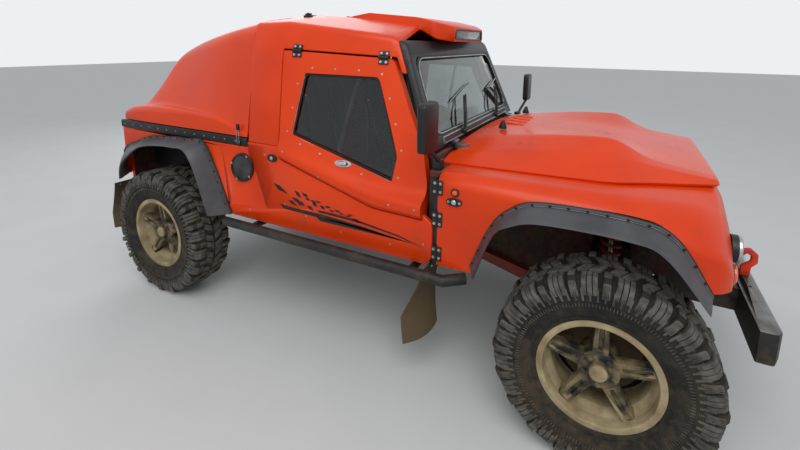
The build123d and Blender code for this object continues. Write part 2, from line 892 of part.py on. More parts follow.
def make_radiator():
    """The radiator's core, on two feet that stand on the frame rails."""
    front_x = bonnet_front_x - 12 - grille_depth - seat_gap
    back_x = front_x - radiator_depth
    half = grille_half - 20
    pieces = [block(back_x, front_x, -half, half, grille_low_z, grille_top_z - 10)]
    low_z = bumper_top_z - 10 + seat_gap
    for y in (rail_mid_y, -rail_mid_y):
        pieces.append(block(front_axle_x + 302, front_x, y - 20, y + 20, low_z, grille_low_z))
    return fused(*pieces)


def make_chassis():
    """Two kicked rails, their cross members, spring towers, engine mounts and the rear eye."""
    low = rail_low_z
    kicked = low + rail_kick
    horn_z = bumper_top_z - rail_height - 10
    front_x = half_length - bumper_depth
    outline_low = [
        (tail_x + 62, kicked),
        (rear_axle_x + 330, kicked),
        (rear_axle_x + 480, low),
        (front_axle_x - 480, low),
        (front_axle_x - 330, kicked),
        (front_axle_x + 200, kicked),
        (front_axle_x + 300, horn_z),
        (front_x, horn_z),
    ]
    outline_high = [(x, z + rail_height) for x, z in reversed(outline_low)]
    rail = prism_y(outline_low + outline_high, rail_outer_y - rail_width, rail_outer_y)
    pieces = [rail, mirrored(rail)]
    reach, height = member_length / 2, member_height / 2
    members = [
        (tail_x + 90, kicked),
        (rear_axle_x + 250, kicked),
        (rear_axle_x + 800, low),
        (mid_member_x, low),
        (front_axle_x + 380, horn_z),
    ]
    for x, base_z in members:
        z = base_z + rail_height / 2
        pieces.append(block(x - reach, x + reach, -rail_mid_y, rail_mid_y, z - height, z + height))
    seat_outer_y = damper_y + spring_radius + 12
    for x, top_z in ((front_axle_x, front_tower_z), (rear_axle_x, rear_tower_z)):
        high_z = top_z + tower_plate
        upright = block(x - 34, x + 34, rail_mid_y, rail_outer_y, kicked + 20, high_z)
        seat = block(x - 34, x + 34, rail_mid_y, seat_outer_y, top_z, high_z)
        pieces += [upright, seat, mirrored(upright), mirrored(seat)]
    inner_y = engine_half_width + seat_gap
    mount = block(front_axle_x - 90, front_axle_x - 36, inner_y, rail_mid_y, kicked + 45, kicked + 85)
    pieces += [mount, mirrored(mount), make_tow_eye(kicked + 20)]
    return fused(*pieces)


def make_tow_eye(z):
    """The rear towing eye on its tongue."""
    start_x, end_x = tail_x + 70, tail_x - tow_eye_reach
    outline = [(start_x, z - 30), (start_x, z + 30), (end_x, z + 30), (end_x, z - 30)]
    tongue = prism_y(outline, -tow_eye_width / 2, tow_eye_width / 2, [0, 0, 24, 24])
    return tongue - rod((end_x + 32, -tow_eye_width, z), (end_x + 32, tow_eye_width, z), tow_eye_radius)


def make_axle(x, half, diff_y, link_direction):
    """An axle tube with its differential housing, link brackets and spring seats."""
    tube = rod((x, -half, axle_z), (x, half, axle_z), axle_tube_radius)
    r = diff_radius
    housing = Solid.make_sphere(r).moved(Location((x, diff_y, axle_z)))
    housing = housing & block(x - r, x + r, diff_y - 105, diff_y + 105, axle_z - 118, axle_z + 118)
    pieces = [tube, housing]
    link_end = x + link_direction * link_reach
    for side in (1, -1):
        y = side * link_y
        pieces.append(block(x, link_end, y - 26, y + 26, axle_z - 30, axle_z + 30))
        y = side * damper_y
        pieces.append(block(x - 40, x + 40, y - 45, y + 45, axle_z + 20, axle_z + damper_seat))
    return fused(*pieces)


def make_rear_axle():
    pieces = [make_axle(rear_axle_x, hub_inner_y - 30, rear_diff_y, 1)]
    for side in (1, -1):
        start, end = side * (hub_inner_y - 40), side * (hub_outer_y - 20)
        pieces.append(rod((rear_axle_x, start, axle_z), (rear_axle_x, end, axle_z), spindle_radius))
    return fused(*pieces)


def make_front_axle():
    """The front axle, whose yokes hold the knuckles by a pin above and one below."""
    x, inner_y = front_axle_x, kingpin_y - 78
    reach = knuckle_half_height + moving_gap
    tall = reach + yoke_ear
    pieces = [make_axle(x, inner_y, front_diff_y, -1)]
    for side in (1, -1):
        y = side * kingpin_y
        back_y = side * inner_y
        pieces.append(block(x - 34, x + 34, back_y, back_y - side * 30, axle_z - tall, axle_z + tall))
        for end in (1, -1):
            z0, z1 = sorted((axle_z + end * reach, axle_z + end * tall))
            pieces.append(block(x - 30, x + 30, back_y, y + side * 24, z0, z1))
            pin_start = axle_z + end * (knuckle_half_height - kingpin_engagement)
            pieces.append(rod((x, y, pin_start), (x, y, axle_z + end * (reach + 10)), kingpin_radius))
    return fused(*pieces)


def make_knuckle():
    """The left knuckle: an upright between the yoke's ears, a spindle and a steering arm."""
    x, y = front_axle_x, kingpin_y
    low_z, high_z = axle_z - knuckle_half_height, axle_z + knuckle_half_height
    upright = block(x - 32, x + 32, y - 34, y + 34, low_z, high_z)
    for z, end in ((low_z, 1), (high_z, -1)):
        bore_end = z + end * (kingpin_engagement + 1)
        upright = upright - rod((x, y, z - end), (x, y, bore_end), kingpin_radius + running_gap)
    flange = rod((x, y + 30, axle_z), (x, hub_inner_y - moving_gap, axle_z), 48)
    spindle = rod((x, y + 30, axle_z), (x, hub_outer_y - 20, axle_z), spindle_radius)
    plan = [(x - 150, y - 46), (x - 150, y - 22), (x - 30, y + 6), (x - 20, y - 26)]
    return fused(upright, flange, spindle, prism_z(plan, axle_z - 52, axle_z - 24))


def bar_section(half_width, top_width, y0, y1, z):
    """A bar's section at a height, from its inner face at y0 to its outer face at y1."""
    return [(-half_width, y0, z), (half_width, y0, z), (top_width, y1, z), (-top_width, y1, z)]


def make_wheel():
    """A left wheel on the Y axis: a barrel, five grooved spokes and a hub with its nuts."""
    outer_y = wheel_mid_y + rim_width / 2
    inner_y = wheel_mid_y - rim_width / 2
    bead, well, y = rim_bead_radius, rim_well_radius, hub_outer_y
    rim = turned([
        (rim_flange_radius, outer_y),
        (rim_flange_radius, outer_y - 8),
        (bead, outer_y - 14),
        (bead, outer_y - 50),
        (well + rim_wall, outer_y - 84),
        (well + rim_wall, inner_y + 60),
        (bead, inner_y + 40),
        (bead, inner_y + 14),
        (rim_flange_radius, inner_y + 8),
        (rim_flange_radius, inner_y),
        (bead - rim_wall, inner_y),
        (bead - rim_wall, inner_y + 38),
        (well, inner_y + 58),
        (well, outer_y - 80),
        (bead - rim_wall, outer_y - 46),
        (bead - rim_wall, outer_y),
    ])
    pieces = [rim, rod((0, hub_inner_y, 0), (0, y, 0), hub_radius)]
    pieces.append(rod((0, y - 1, 0), (0, y + hub_cap_height, 0), hub_cap_radius))
    root, tip_half, tip = spoke_root_width / 2, spoke_width / 2, bead - 5
    spoke = loft_of([
        bar_section(root, root - 4, y - 44, y - 4, 50),
        bar_section(tip_half, tip_half - 4, y - 20, y + 14, tip),
    ])
    groove = loft_of([
        bar_section(5, 9, y - 14, y + 1, hub_radius + 8),
        bar_section(8, 12, y - 1, y + 20, tip - 16),
    ])
    nut = rod((0, y - 4, nut_circle_radius), (0, y + 12, nut_circle_radius), nut_radius)
    for index in range(spoke_count):
        angle = index * 360 / spoke_count
        pieces.append((spoke - groove).rotate(Axis.Y, angle))
        pieces.append(nut.rotate(Axis.Y, angle + 180 / spoke_count))
    return fused(*pieces) - rod((0, hub_inner_y - 5, 0), (0, y - 10, 0), spindle_radius + running_gap)


def make_tyre():
    """A tyre on the Y axis. Its shoulder lugs reach down the sidewalls."""
    half, mid = tyre_width / 2 - 6, wheel_mid_y
    bead, flange = rim_bead_radius + seat_gap, rim_flange_radius + seat_gap
    bead_y, flange_y = rim_width / 2 - 14 - seat_gap, rim_width / 2 - 8 - seat_gap
    floor = tyre_radius - lug_depth
    outer = [
        (bead, bead_y),
        (flange, flange_y),
        (flange, half - 14),
        (300, half),
        (floor - 34, half - 4),
        (floor, half - 40),
    ]
    inner = [(floor - 18, half - 42), (290, half - 16), (bead + 14, bead_y - 14)]
    profile = [(r, mid - y) for r, y in outer] + [(r, mid + y) for r, y in reversed(outer)]
    profile += [(r, mid + y) for r, y in reversed(inner)] + [(r, mid - y) for r, y in inner]
    tip = tyre_radius
    lug = [
        (318, half - 6),
        (326, half + 2),
        (floor - 30, half + 6),
        (floor - 4, half),
        (tip, half - 24),
        (tip, half - 66),
        (floor - 8, half - 66),
        (floor - 36, half - 30),
    ]
    pieces = [turned(profile)]
    for side, phase in ((1, 0), (-1, 0.5)):
        face = face_of([(r, mid + side * y, -lug_width / 2) for r, y in lug])
        solid = Solid.extrude(face, Vector(0, 0, lug_width))
        for index in range(lug_count):
            pieces.append(solid.rotate(Axis.Y, (index + phase) * 360 / lug_count))
    return fused(*pieces)


def make_bumper():
    x0, x1 = half_length - bumper_depth, half_length
    w, edge = bumper_half_width, 12
    low_z, top_z = bumper_top_z - bumper_height, bumper_top_z
    plan = [(x0, -w), (x1 - 22, -w), (x1, 45 - w), (x1, w - 45), (x1 - 22, w), (x0, w)]
    side = [(x0, low_z), (x0, top_z), (x1 - edge, top_z), (x1, top_z - edge), (x1, low_z + edge), (x1 - edge, low_z)]
    beam = prism_z(plan, low_z, top_z, [0, 14, 30, 30, 14, 0]) & prism_y(side, -w, w)
    x = x0 + bumper_depth / 2
    for y in (lamp_hole_y, -lamp_hole_y):
        beam = beam - rod((x, y, top_z - 40), (x, y, top_z + 1), lamp_hole_radius)
    return beam


def make_fairlead():
    """The fairlead plate on the bumper's face."""
    x, z = half_length, bumper_top_z - 65
    half, slot_half = fairlead_half, fairlead_half - 35
    plate = block(x + seat_gap, x + fairlead_reach, -half, half, z - 35, z + 35)
    return plate - block(x - 5, x + fairlead_reach + 5, -slot_half, slot_half, z - 13, z + 13)


def make_tow_hook():
    """The open hook that stands on the bumper's top."""
    x, z = half_length - bumper_depth / 2, bumper_top_z + seat_gap
    offsets = [
        (-18, 0),
        (18, 0),
        (20, 42),
        (40, 66),
        (38, 104),
        (8, 128),
        (-24, 118),
        (-30, 92),
        (-12, 90),
        (-2, 104),
        (14, 94),
        (14, 72),
        (-18, 44),
    ]
    outline = [(x + dx, z + dz) for dx, dz in offsets]
    return prism_y(outline, hook_y - hook_width / 2, hook_y + hook_width / 2)


def make_floor():
    """Floor, firewall and rear bulkhead of the cab."""
    z0 = rail_low_z + rail_height + seat_gap
    front_x, half = cabin_front_x, scuttle_half_width
    floor = block(bulkhead_x, front_x, -liner_y, liner_y, z0, z0 + floor_wall)
    firewall = block(front_x - firewall_wall, front_x - seat_gap, -half, half, z0, scuttle_high_z)
    bulkhead = block(bulkhead_x, bulkhead_x + floor_wall, -liner_y, liner_y, z0, foot_z - 10)
    return fused(floor, firewall, bulkhead)


def make_load_tub():
    """The load floor between the rear wheels, with its side walls and their top ledges."""
    inner, outer, wall = tub_inner_y, liner_y, tub_wall
    half = [
        (inner + wall, tub_z),
        (inner + wall, belt_z - wall),
        (outer, belt_z - wall),
        (outer, belt_z),
        (inner, belt_z),
        (inner, tub_z + wall),
    ]
    outline = half + [(-y, z) for y, z in reversed(half)]
    return prism_x(outline, tail_x + panel_wall + seat_gap, bulkhead_x - seat_gap)


def make_cage():
    """The roll cage: a main hoop, two front legs, two rear stays and the cross tubes."""
    r, top = cage_radius, cage_top_z
    foot = rail_low_z + rail_height + floor_wall + 2 * seat_gap
    left = [(cage_foot_y, foot), (cage_foot_y, 1100), (cage_foot_y - 80, top)]
    hoop_points = [(hoop_x, -y, z) for y, z in left] + [(hoop_x, y, z) for y, z in reversed(left)]
    pieces = [bent_tube(hoop_points, r, 90)]
    bar_y, bar_z = 545, 1530
    below = block(tail_x, seam_x, -liner_y, liner_y, rail_low_z, tub_z + tub_wall + seat_gap)
    for side in (1, -1):
        leg_points = [
            (hoop_x, side * 640, top - 10),
            (cage_front_x, side * bar_y, bar_z),
            (cage_leg_x, side * 640, 1080),
            (cage_leg_x, side * 640, foot),
        ]
        pieces.append(bent_tube(leg_points, r, 70))
        stay = rod((hoop_x, side * 600, top - 40), (rear_axle_x - 270, side * 560, tub_z - 20), r)
        pieces.append(stay - below)
    pieces.append(rod((cage_front_x, -bar_y, bar_z), (cage_front_x, bar_y, bar_z), r))
    cross_y = cage_foot_y - 5
    pieces.append(rod((hoop_x, -cross_y, 1060), (hoop_x, cross_y, 1060), r))
    return fused(*pieces)


def make_seat():
    """The left bucket seat: a shell with a base, a back, side wings and a foot."""
    x, z = door_rear_x + 60, rail_low_z + rail_height + 20
    side_view = [
        (x, z + 60),
        (x + 480, z + 80),
        (x + 500, z + 220),
        (x + 180, z + 180),
        (x - 40, z + 800),
        (x - 110, z + 790),
        (x - 60, z + 200),
    ]
    hollow = [(x + 40, z + 130), (x + 560, z + 150), (x + 560, z + 400), (x + 10, z + 900), (x - 60, z + 900)]
    y0, y1 = seat_y - seat_half_width, seat_y + seat_half_width
    body = prism_y(side_view, y0, y1, [30, 30, 40, 60, 30, 30, 60])
    body = body - prism_y(hollow, y0 + seat_side_wall, y1 - seat_side_wall)
    floor_z = rail_low_z + rail_height + floor_wall + 2 * seat_gap
    return fused(body, block(x + 30, x + 430, y0 + 50, y1 - 50, floor_z, z + 75))


def steering_plane():
    """The steering wheel's plane: its Z axis points at the driver."""
    rake = radians(steering_rake)
    return Plane(origin=steering_centre, z_dir=(-cos(rake), 0, sin(rake)))


def make_dashboard():
    """The dashboard, on the firewall, with the steering column that stands out of it."""
    x1 = cabin_front_x - firewall_wall - seat_gap
    x0 = x1 - 212
    outline = [(x0, 930), (x1, 900), (x1, 1060), (x1 - 60, 1084), (x0 + 30, 1084), (x0, 1040)]
    body = prism_y(outline, -600, 600, [15, 0, 0, 20, 30, 20])
    column = Solid.make_cylinder(column_radius, 200).moved(Location((0, 0, -208)))
    return fused(body, column.moved(steering_plane().location))


def make_steering_wheel():
    r, grip = steering_ring_radius, steering_grip_radius
    section = [(r + grip * cos(radians(a)), 0, grip * sin(radians(a))) for a in range(0, 360, 45)]
    ring = Solid.revolve(face_of(section), 360, Axis.Z)
    hub = Solid.make_cylinder(38, 32).moved(Location((0, 0, -26)))
    spokes = [block(0, r - 5, -14, 14, -12, -4).rotate(Axis.Z, angle) for angle in (90, 210, 330)]
    bore = Solid.make_cylinder(column_radius + running_gap, 30).moved(Location((0, 0, -37)))
    return (fused(ring, hub, *spokes) - bore).moved(steering_plane().location)


def make_powertrain():
    """Engine, gearbox and transfer box with the two propeller shafts, joined as one."""
    engine_front = front_axle_x + 200
    box_x = engine_front - engine_length
    back_x = mid_member_x + member_length / 2 + seat_gap
    half, engine_low = engine_half_width, rail_low_z + rail_kick + 40
    engine = block(box_x, engine_front, -half, half, engine_low, engine_top_z)
    bell = block(box_x - 60, box_x + 60, -120, 120, 480, engine_low + 60)
    gearbox = block(back_x, box_x + 20, -120, 120, 430, rail_low_z + 90)
    drop = block(back_x + 34, back_x + 300, 60, 190, 400, 520)
    rear_y, front_y, reach = rear_diff_y, front_diff_y, diff_radius + seat_gap
    rear = rod((rear_axle_x + 100, rear_y, axle_z), (back_x + 5, rear_y, 462), shaft_radius)
    rear = rear - block(rear_axle_x, rear_axle_x + reach, rear_y - 100, rear_y + 100, 300, 500)
    front = rod((front_axle_x - 100, front_y, axle_z), (back_x + 290, front_y, 450), shaft_radius - 4)
    front = front - block(front_axle_x - reach, front_axle_x, front_y - 100, front_y + 100, 300, 500)
    return fused(engine, bell, gearbox, drop, rear, front)


def make_links_and_springs():
    """Radius arms from the axles to the frame, and a spring over each damper."""
    pieces = []
    half, far_z = link_height / 2, rail_low_z + 40
    low_z = axle_z + damper_seat + seat_gap
    for axle_x, direction, top_z in ((front_axle_x, -1, front_tower_z), (rear_axle_x, 1, rear_tower_z)):
        near = axle_x + direction * (link_reach + seat_gap)
        far = near + direction * link_length
        outline = [(near, axle_z - half), (near, axle_z + half), (far, far_z + half), (far, far_z - half)]
        arm = prism_y(outline, link_y - half, link_y + half)
        inner_y = rail_outer_y + seat_gap
        boss = block(far, far - direction * 50, inner_y, link_y, far_z - 18, far_z + 18)
        spring = rod((axle_x, damper_y, low_z), (axle_x, damper_y, top_z - seat_gap), spring_radius)
        pieces += [fused(arm, boss), spring]
    return both(*pieces)


def make_slider():
    """A side tube below the door, on two stays from the frame."""
    start = (rear_axle_x + 586, slider_y, slider_z)
    corner = (front_axle_x - 628, slider_y, slider_z)
    end = (front_axle_x - 548, slider_y - 60, slider_z + 3)
    knee = Solid.make_sphere(slider_radius).rotate(Axis.Y, 90).moved(Location(corner))
    pieces = [rod(start, corner, slider_radius), knee, rod(corner, end, slider_radius)]
    for x in (rear_axle_x + 760, front_axle_x - 800):
        inner, outer = (x, rail_outer_y + seat_gap, slider_stay_z), (x, slider_y, slider_stay_z)
        pieces.append(rod(inner, outer, slider_stay_radius))
    return fused(*pieces)


def make_mud_flaps():
    """Rubber flaps behind the left wheels."""
    front_x, rear_x = post_x + 6, tail_x + 4
    outer_y = body_half_width + 26
    front = block(front_x, front_x + flap_wall, flap_inner_y, outer_y, 250, sill_z - seat_gap)
    rear = block(rear_x, rear_x + flap_wall, flap_inner_y, liner_y, 330, tail_low_z - seat_gap)
    return front, rear


def mirror_outline(inset):
    w, h = mirror_half_width - inset, mirror_half_height - inset
    y, z = mirror_y, mirror_z
    return [(y - w, z - h), (y + w, z - h), (y + w, z + h), (y - w, z + h)]


def make_mirror():
    """The left mirror: a housing with a hollow for the glass, an arm and a foot on the scuttle."""
    x, foot_base_z = mirror_x, scuttle_top_z + seat_gap
    housing = prism_x(mirror_outline(0), x, x + mirror_depth, 22)
    housing = housing - prism_x(mirror_outline(mirror_rim), x - 1, x + 8, 15)
    foot = block(post_x + 6, post_x + 46, 746, 790, foot_base_z, foot_base_z + 46)
    arm_end = (x + 18, mirror_y - 10, mirror_z - mirror_half_height + 4)
    return fused(housing, rod((post_x + 30, 768, foot_base_z + 36), arm_end, 9), foot)


def make_headlamp():
    """A headlamp with a domed glass."""
    x, r, reach = nose_x + seat_gap, headlamp_radius, headlamp_reach
    profile = [(0, 0), (r, 0), (r, reach - 14), (r - 8, reach - 6), (r / 2, reach), (0, reach)]
    face = face_of([(x + depth, lamp_y + radius, headlamp_z) for radius, depth in profile])
    return Solid.revolve(face, 360, Axis((x, lamp_y, headlamp_z), (1, 0, 0)))


def make_indicator():
    x = nose_x + seat_gap
    return rod((x, lamp_y, indicator_z), (x + headlamp_reach - 4, lamp_y, indicator_z), indicator_radius)


def make_tail_lamp():
    x, y, z = tail_x - seat_gap, tail_lamp_y, tail_lamp_z
    return rod((x, y, z), (x - tail_lamp_reach, y, z), tail_lamp_radius)


def make_wipers():
    """Two wiper arms on spindles below the glass."""
    normal = Vector(1, 0, screen_rake).normalized()
    z = screen_foot_z - 28
    tip_z = z + 170
    arms = []
    for y in (-307, 317):
        base = Vector(screen_x(z), y, z) + normal * seat_gap
        top = base + normal * 16
        tip = Vector(screen_x(tip_z), y + 150, tip_z) + normal * 12
        arms.append(fused(rod(base, top, 9), rod(top - normal * 5, tip, 5)))
    return Compound(children=arms)


def at_wheel(shape, axle_x, side):
    placed = shape if side > 0 else mirrored(shape)
    return placed.moved(Location((axle_x, 0, axle_z)))


door = make_door()
door_glass = make_door_glass()
body_side = make_body_side()
knuckle = make_knuckle()
wheel = make_wheel()
tyre = make_tyre()

nodes = {
    "chassis": make_chassis(),
    "axles": Compound(children=[make_front_axle(), make_rear_axle()]),
    "suspension": make_links_and_springs(),
    "powertrain": make_powertrain(),
    "front_bumper": make_bumper(),
    "fairlead": make_fairlead(),
    "tow_hook": make_tow_hook(),
    "floor_pans": Compound(children=[make_floor(), make_load_tub()]),
    "roll_cage": make_cage(),
    "windscreen_frame": make_windscreen_frame(),
    "windscreen_glass": screen_prism(-22, -16),
    "scuttle": make_scuttle(),
    "hinge_posts": both(make_hinge_post()),
    "hinges": make_hinges(),
    "roof_shell": make_roof(),
    "lamp_bar": make_lamp_bar(),
    "body_sides": Compound(children=[body_side, mirrored(body_side), make_tail_panel()]),
    "side_vents": both(make_vent()),
    "side_strips": make_strips(),
    "wings": both(make_wing()),
    "flares": both(
        make_flare(front_flare_body, front_flare_lip, front_axle_x),
        make_flare(rear_flare_body, rear_flare_lip, rear_axle_x),
    ),
    "grille": make_grille(),
    "radiator": make_radiator(),
    "headlamps": both(make_headlamp()),
    "indicators": both(make_indicator()),
    "tail_lamps": both(make_tail_lamp()),
    "mirrors": both(make_mirror()),
    "seats": both(make_seat()),
    "dashboard": make_dashboard(),
    "sliders": both(make_slider()),
    "mud_flaps": both(*make_mud_flaps()),
    "wipers": make_wipers(),
    "door_left": door,
    "door_right": mirrored(door),
    "door_glass_left": door_glass,
    "door_glass_right": mirrored(door_glass),
    "bonnet": make_bonnet(),
    "rear_canopy": make_canopy(),
    "steering_wheel": make_steering_wheel(),
    "knuckle_left": knuckle,
    "knuckle_right": mirrored(knuckle),
}
for name, axle_x, side in (
    ("front_left", front_axle_x, 1),
    ("front_right", front_axle_x, -1),
    ("rear_left", rear_axle_x, 1),
    ("rear_right", rear_axle_x, -1),
):
    nodes["wheel_" + name] = at_wheel(wheel, axle_x, side)
    nodes["tyre_" + name] = at_wheel(tyre, axle_x, side)

for name, shape in nodes.items():
    export_step(shape, "parts/" + name + ".step")
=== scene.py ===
import json
import math

import bmesh
import bpy
from mathutils import Matrix, Vector


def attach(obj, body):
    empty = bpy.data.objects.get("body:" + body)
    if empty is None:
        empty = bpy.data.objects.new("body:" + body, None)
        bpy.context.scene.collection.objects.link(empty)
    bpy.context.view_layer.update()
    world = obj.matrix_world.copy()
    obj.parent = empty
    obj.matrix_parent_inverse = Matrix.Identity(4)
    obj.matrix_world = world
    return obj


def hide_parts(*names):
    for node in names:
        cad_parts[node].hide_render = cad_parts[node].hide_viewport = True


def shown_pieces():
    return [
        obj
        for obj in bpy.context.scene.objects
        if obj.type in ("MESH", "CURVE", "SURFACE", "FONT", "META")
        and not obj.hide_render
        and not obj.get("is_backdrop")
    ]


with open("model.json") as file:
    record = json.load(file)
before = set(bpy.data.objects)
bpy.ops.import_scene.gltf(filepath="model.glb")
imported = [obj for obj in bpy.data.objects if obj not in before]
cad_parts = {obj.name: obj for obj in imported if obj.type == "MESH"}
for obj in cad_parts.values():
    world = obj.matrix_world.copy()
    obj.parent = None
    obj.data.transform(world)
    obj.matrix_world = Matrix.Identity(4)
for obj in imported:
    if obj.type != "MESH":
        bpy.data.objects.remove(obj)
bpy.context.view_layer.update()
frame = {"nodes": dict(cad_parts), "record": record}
nodes = frame["nodes"]
bodyOfNode = {node: body for body, names in frame["record"]["behaviour"]["bodies"].items() for node in names}
print("stage: the frame is loaded,", len(nodes), "nodes")

axleZ = 0.395
frontAxleX = 1.22
rearAxleX = -1.32
wheelMidY = 0.82
sideY = 0.832
screenFoot = (0.445, 1.150)
screenRake = 0.391
mainBody = "body"
bothSides = (-1, 1)
sideNames = {-1: "right", 1: "left"}
cornerPlaces = {
    "front_right": (frontAxleX, -1),
    "front_left": (frontAxleX, 1),
    "rear_right": (rearAxleX, -1),
    "rear_left": (rearAxleX, 1),
}


# Finishes: every one reads Object coordinates in metres, and mud rises from the ground.

grainFacts = dict(coatRough=0.08, index=1.45, patchDetail=6, patchLow=0.38, patchHigh=0.66, fine=(190, 3),
                  low=0.3, high=0.7, smoother=0.85, rougher=1.2, coarse=(45, 4), depth=0.002)
mudFacts = dict(colour=(0.36, 0.30, 0.21), rough=0.93, foot=0.25, speckle=(34, 8), speckleShare=0.42,
                patch=(5, 4), patchShare=0.34, low=0.46, high=0.82)
finishTable = {
    "paint": dict(colour=(0.86, 0.24, 0.0), second=(0.81, 0.205, 0.0), patch=2.5, rough=0.34, coat=0.12,
                  shine=0.3, mud=0.22, mudTop=0.80, bump=0.01),
    "darkPaint": dict(colour=(0.33, 0.12, 0.11), second=(0.24, 0.14, 0.12), patch=14, rough=0.5, coat=0.1,
                      mud=0.2, mudTop=1.2, bump=0.08),
    "springRed": dict(colour=(0.55, 0.06, 0.05), second=(0.36, 0.05, 0.04), patch=12, rough=0.5, mud=0.22,
                      mudTop=0.9, bump=0.1),
    "orangeStrap": dict(colour=(0.86, 0.22, 0.06), second=(0.62, 0.16, 0.06), patch=30, rough=0.5, mud=0.1,
                        mudTop=0.9, bump=0.06),
    "frameBlack": dict(colour=(0.075, 0.075, 0.08), second=(0.12, 0.115, 0.11), patch=9, rough=0.48, mud=0.42,
                       mudTop=0.75, bump=0.06),
    "bareMetal": dict(colour=(0.52, 0.52, 0.53), second=(0.40, 0.39, 0.37), patch=16, rough=0.38, metal=0.85,
                      mud=0.2, mudTop=0.7, bump=0.04),
    "silver": dict(colour=(0.74, 0.74, 0.75), second=(0.60, 0.59, 0.57), patch=30, rough=0.3, metal=0.9,
                   mud=0.1, mudTop=0.7, bump=0.03),
    "castings": dict(colour=(0.24, 0.21, 0.18), second=(0.33, 0.19, 0.11), patch=13, rough=0.8, metal=0.2,
                     mud=0.6, mudTop=0.8, bump=0.25),
    "alloy": dict(colour=(0.66, 0.60, 0.46), second=(0.50, 0.43, 0.31), patch=11, rough=0.72, mud=0.1,
                  mudTop=0.9, bump=0.12),
    # the wheel's centre inside the rim: dark grey as painted shade of its recess, with beige mud patches
    "spokeShadeAndMud": dict(colour=(0.13, 0.12, 0.105), second=(0.50, 0.44, 0.32), patch=20, rough=0.62, metal=0.1,
                      mud=0.06, mudTop=0.9, bump=0.16),
    "tyre": dict(colour=(0.07, 0.067, 0.062), second=(0.17, 0.15, 0.12), patch=12, rough=0.85, mud=0.14,
                 mudTop=0.9, bump=0.3),
    "treadBlock": dict(colour=(0.24, 0.235, 0.22), second=(0.38, 0.37, 0.34), patch=30, rough=0.88, mud=0.10,
                       mudTop=0.9, bump=0.3),
    "blackRubber": dict(colour=(0.22, 0.22, 0.23), second=(0.29, 0.29, 0.30), patch=7, rough=0.45, mud=0.14,
                        mudTop=0.9, bump=0.03),
    # the panels' insides, undersides and arch liners: the paint's red darkened as a painted shade, with mud
    "insideShadeRed": dict(colour=(0.24, 0.03, 0.025), second=(0.09, 0.025, 0.02), patch=10, rough=0.7, mud=0.28,
                    mudTop=1.1, bump=0.1),
    "stripRubber": dict(colour=(0.055, 0.055, 0.055), second=(0.10, 0.10, 0.10), patch=9, rough=0.5, mud=0.1,
                        mudTop=0.95, bump=0.05),
    "flapRubber": dict(colour=(0.20, 0.18, 0.14), second=(0.32, 0.27, 0.19), patch=10, rough=0.9, mud=0.7,
                       mudTop=0.8, bump=0.2),
    "blackPlastic": dict(colour=(0.06, 0.06, 0.065), second=(0.10, 0.10, 0.10), patch=20, rough=0.42, mud=0.1,
                         mudTop=0.8, bump=0.1),
    "seatCloth": dict(colour=(0.10, 0.10, 0.115), second=(0.16, 0.155, 0.16), patch=40, rough=0.92, bump=0.35,
                      sheen=0.4),
    "harnessRed": dict(colour=(0.46, 0.05, 0.07), second=(0.36, 0.05, 0.06), patch=60, rough=0.85, bump=0.3,
                       sheen=0.3),
    "gauge": dict(colour=(0.86, 0.86, 0.82), second=(0.78, 0.78, 0.74), patch=40, rough=0.4),
    "plate": dict(colour=(0.84, 0.83, 0.79), second=(0.74, 0.72, 0.66), patch=20, rough=0.45, mud=0.2,
                  mudTop=1.1, bump=0.03),
    "amberLens": dict(colour=(0.95, 0.36, 0.03), second=(0.86, 0.27, 0.02), patch=50, rough=0.14, coat=0.6),
    "redLens": dict(colour=(0.62, 0.03, 0.025), second=(0.50, 0.02, 0.02), patch=50, rough=0.14, coat=0.6),
    "lampGlass": dict(colour=(0.93, 0.94, 0.95), second=(0.88, 0.89, 0.90), patch=20, rough=0.04, glass=0.92),
    "screenGlass": dict(colour=(0.80, 0.86, 0.84), second=(0.74, 0.80, 0.78), patch=3, rough=0.0, glass=1.0),
    "sideGlass": dict(colour=(0.66, 0.67, 0.68), second=(0.60, 0.61, 0.62), patch=5, rough=0.0, glass=1.0),
    "mirrorGlass": dict(colour=(0.86, 0.88, 0.90), second=(0.82, 0.84, 0.86), patch=5, rough=0.04, metal=1.0),
}


def linear(colour):
    steps = [c / 12.92 if c <= 0.04045 else ((c + 0.055) / 1.055) ** 2.4 for c in colour]
    return (*steps, 1.0)


def setInputs(tree, node, values):
    # each value is a socket to link, or a number or name to set
    for socket, value in values.items():
        if isinstance(value, bpy.types.NodeSocket):
            tree.links.new(value, node.inputs[socket])
        else:
            node.inputs[socket].default_value = value


def addNode(tree, kind, values, out=0, **settings):
    node = tree.nodes.new(kind)
    for name, value in settings.items():
        setattr(node, name, value)
    setInputs(tree, node, values)
    return node.outputs[out]


def maths(tree, operation, *values):
    return addNode(tree, "ShaderNodeMath", dict(enumerate(values)), operation=operation)


def noiseOf(tree, place, scale, detail):
    return addNode(tree, "ShaderNodeTexNoise", {"Vector": place, "Scale": scale, "Detail": detail}, "Fac")


def ranged(tree, value, low, high, outLow=0.0, outHigh=1.0):
    return addNode(tree, "ShaderNodeMapRange", dict(enumerate((value, low, high, outLow, outHigh))))


def mixedColour(tree, share, first, second):
    first, second = (linear(colour) if isinstance(colour, tuple) else colour for colour in (first, second))
    return addNode(tree, "ShaderNodeMix", {0: share, 6: first, 7: second}, 2, data_type="RGBA")


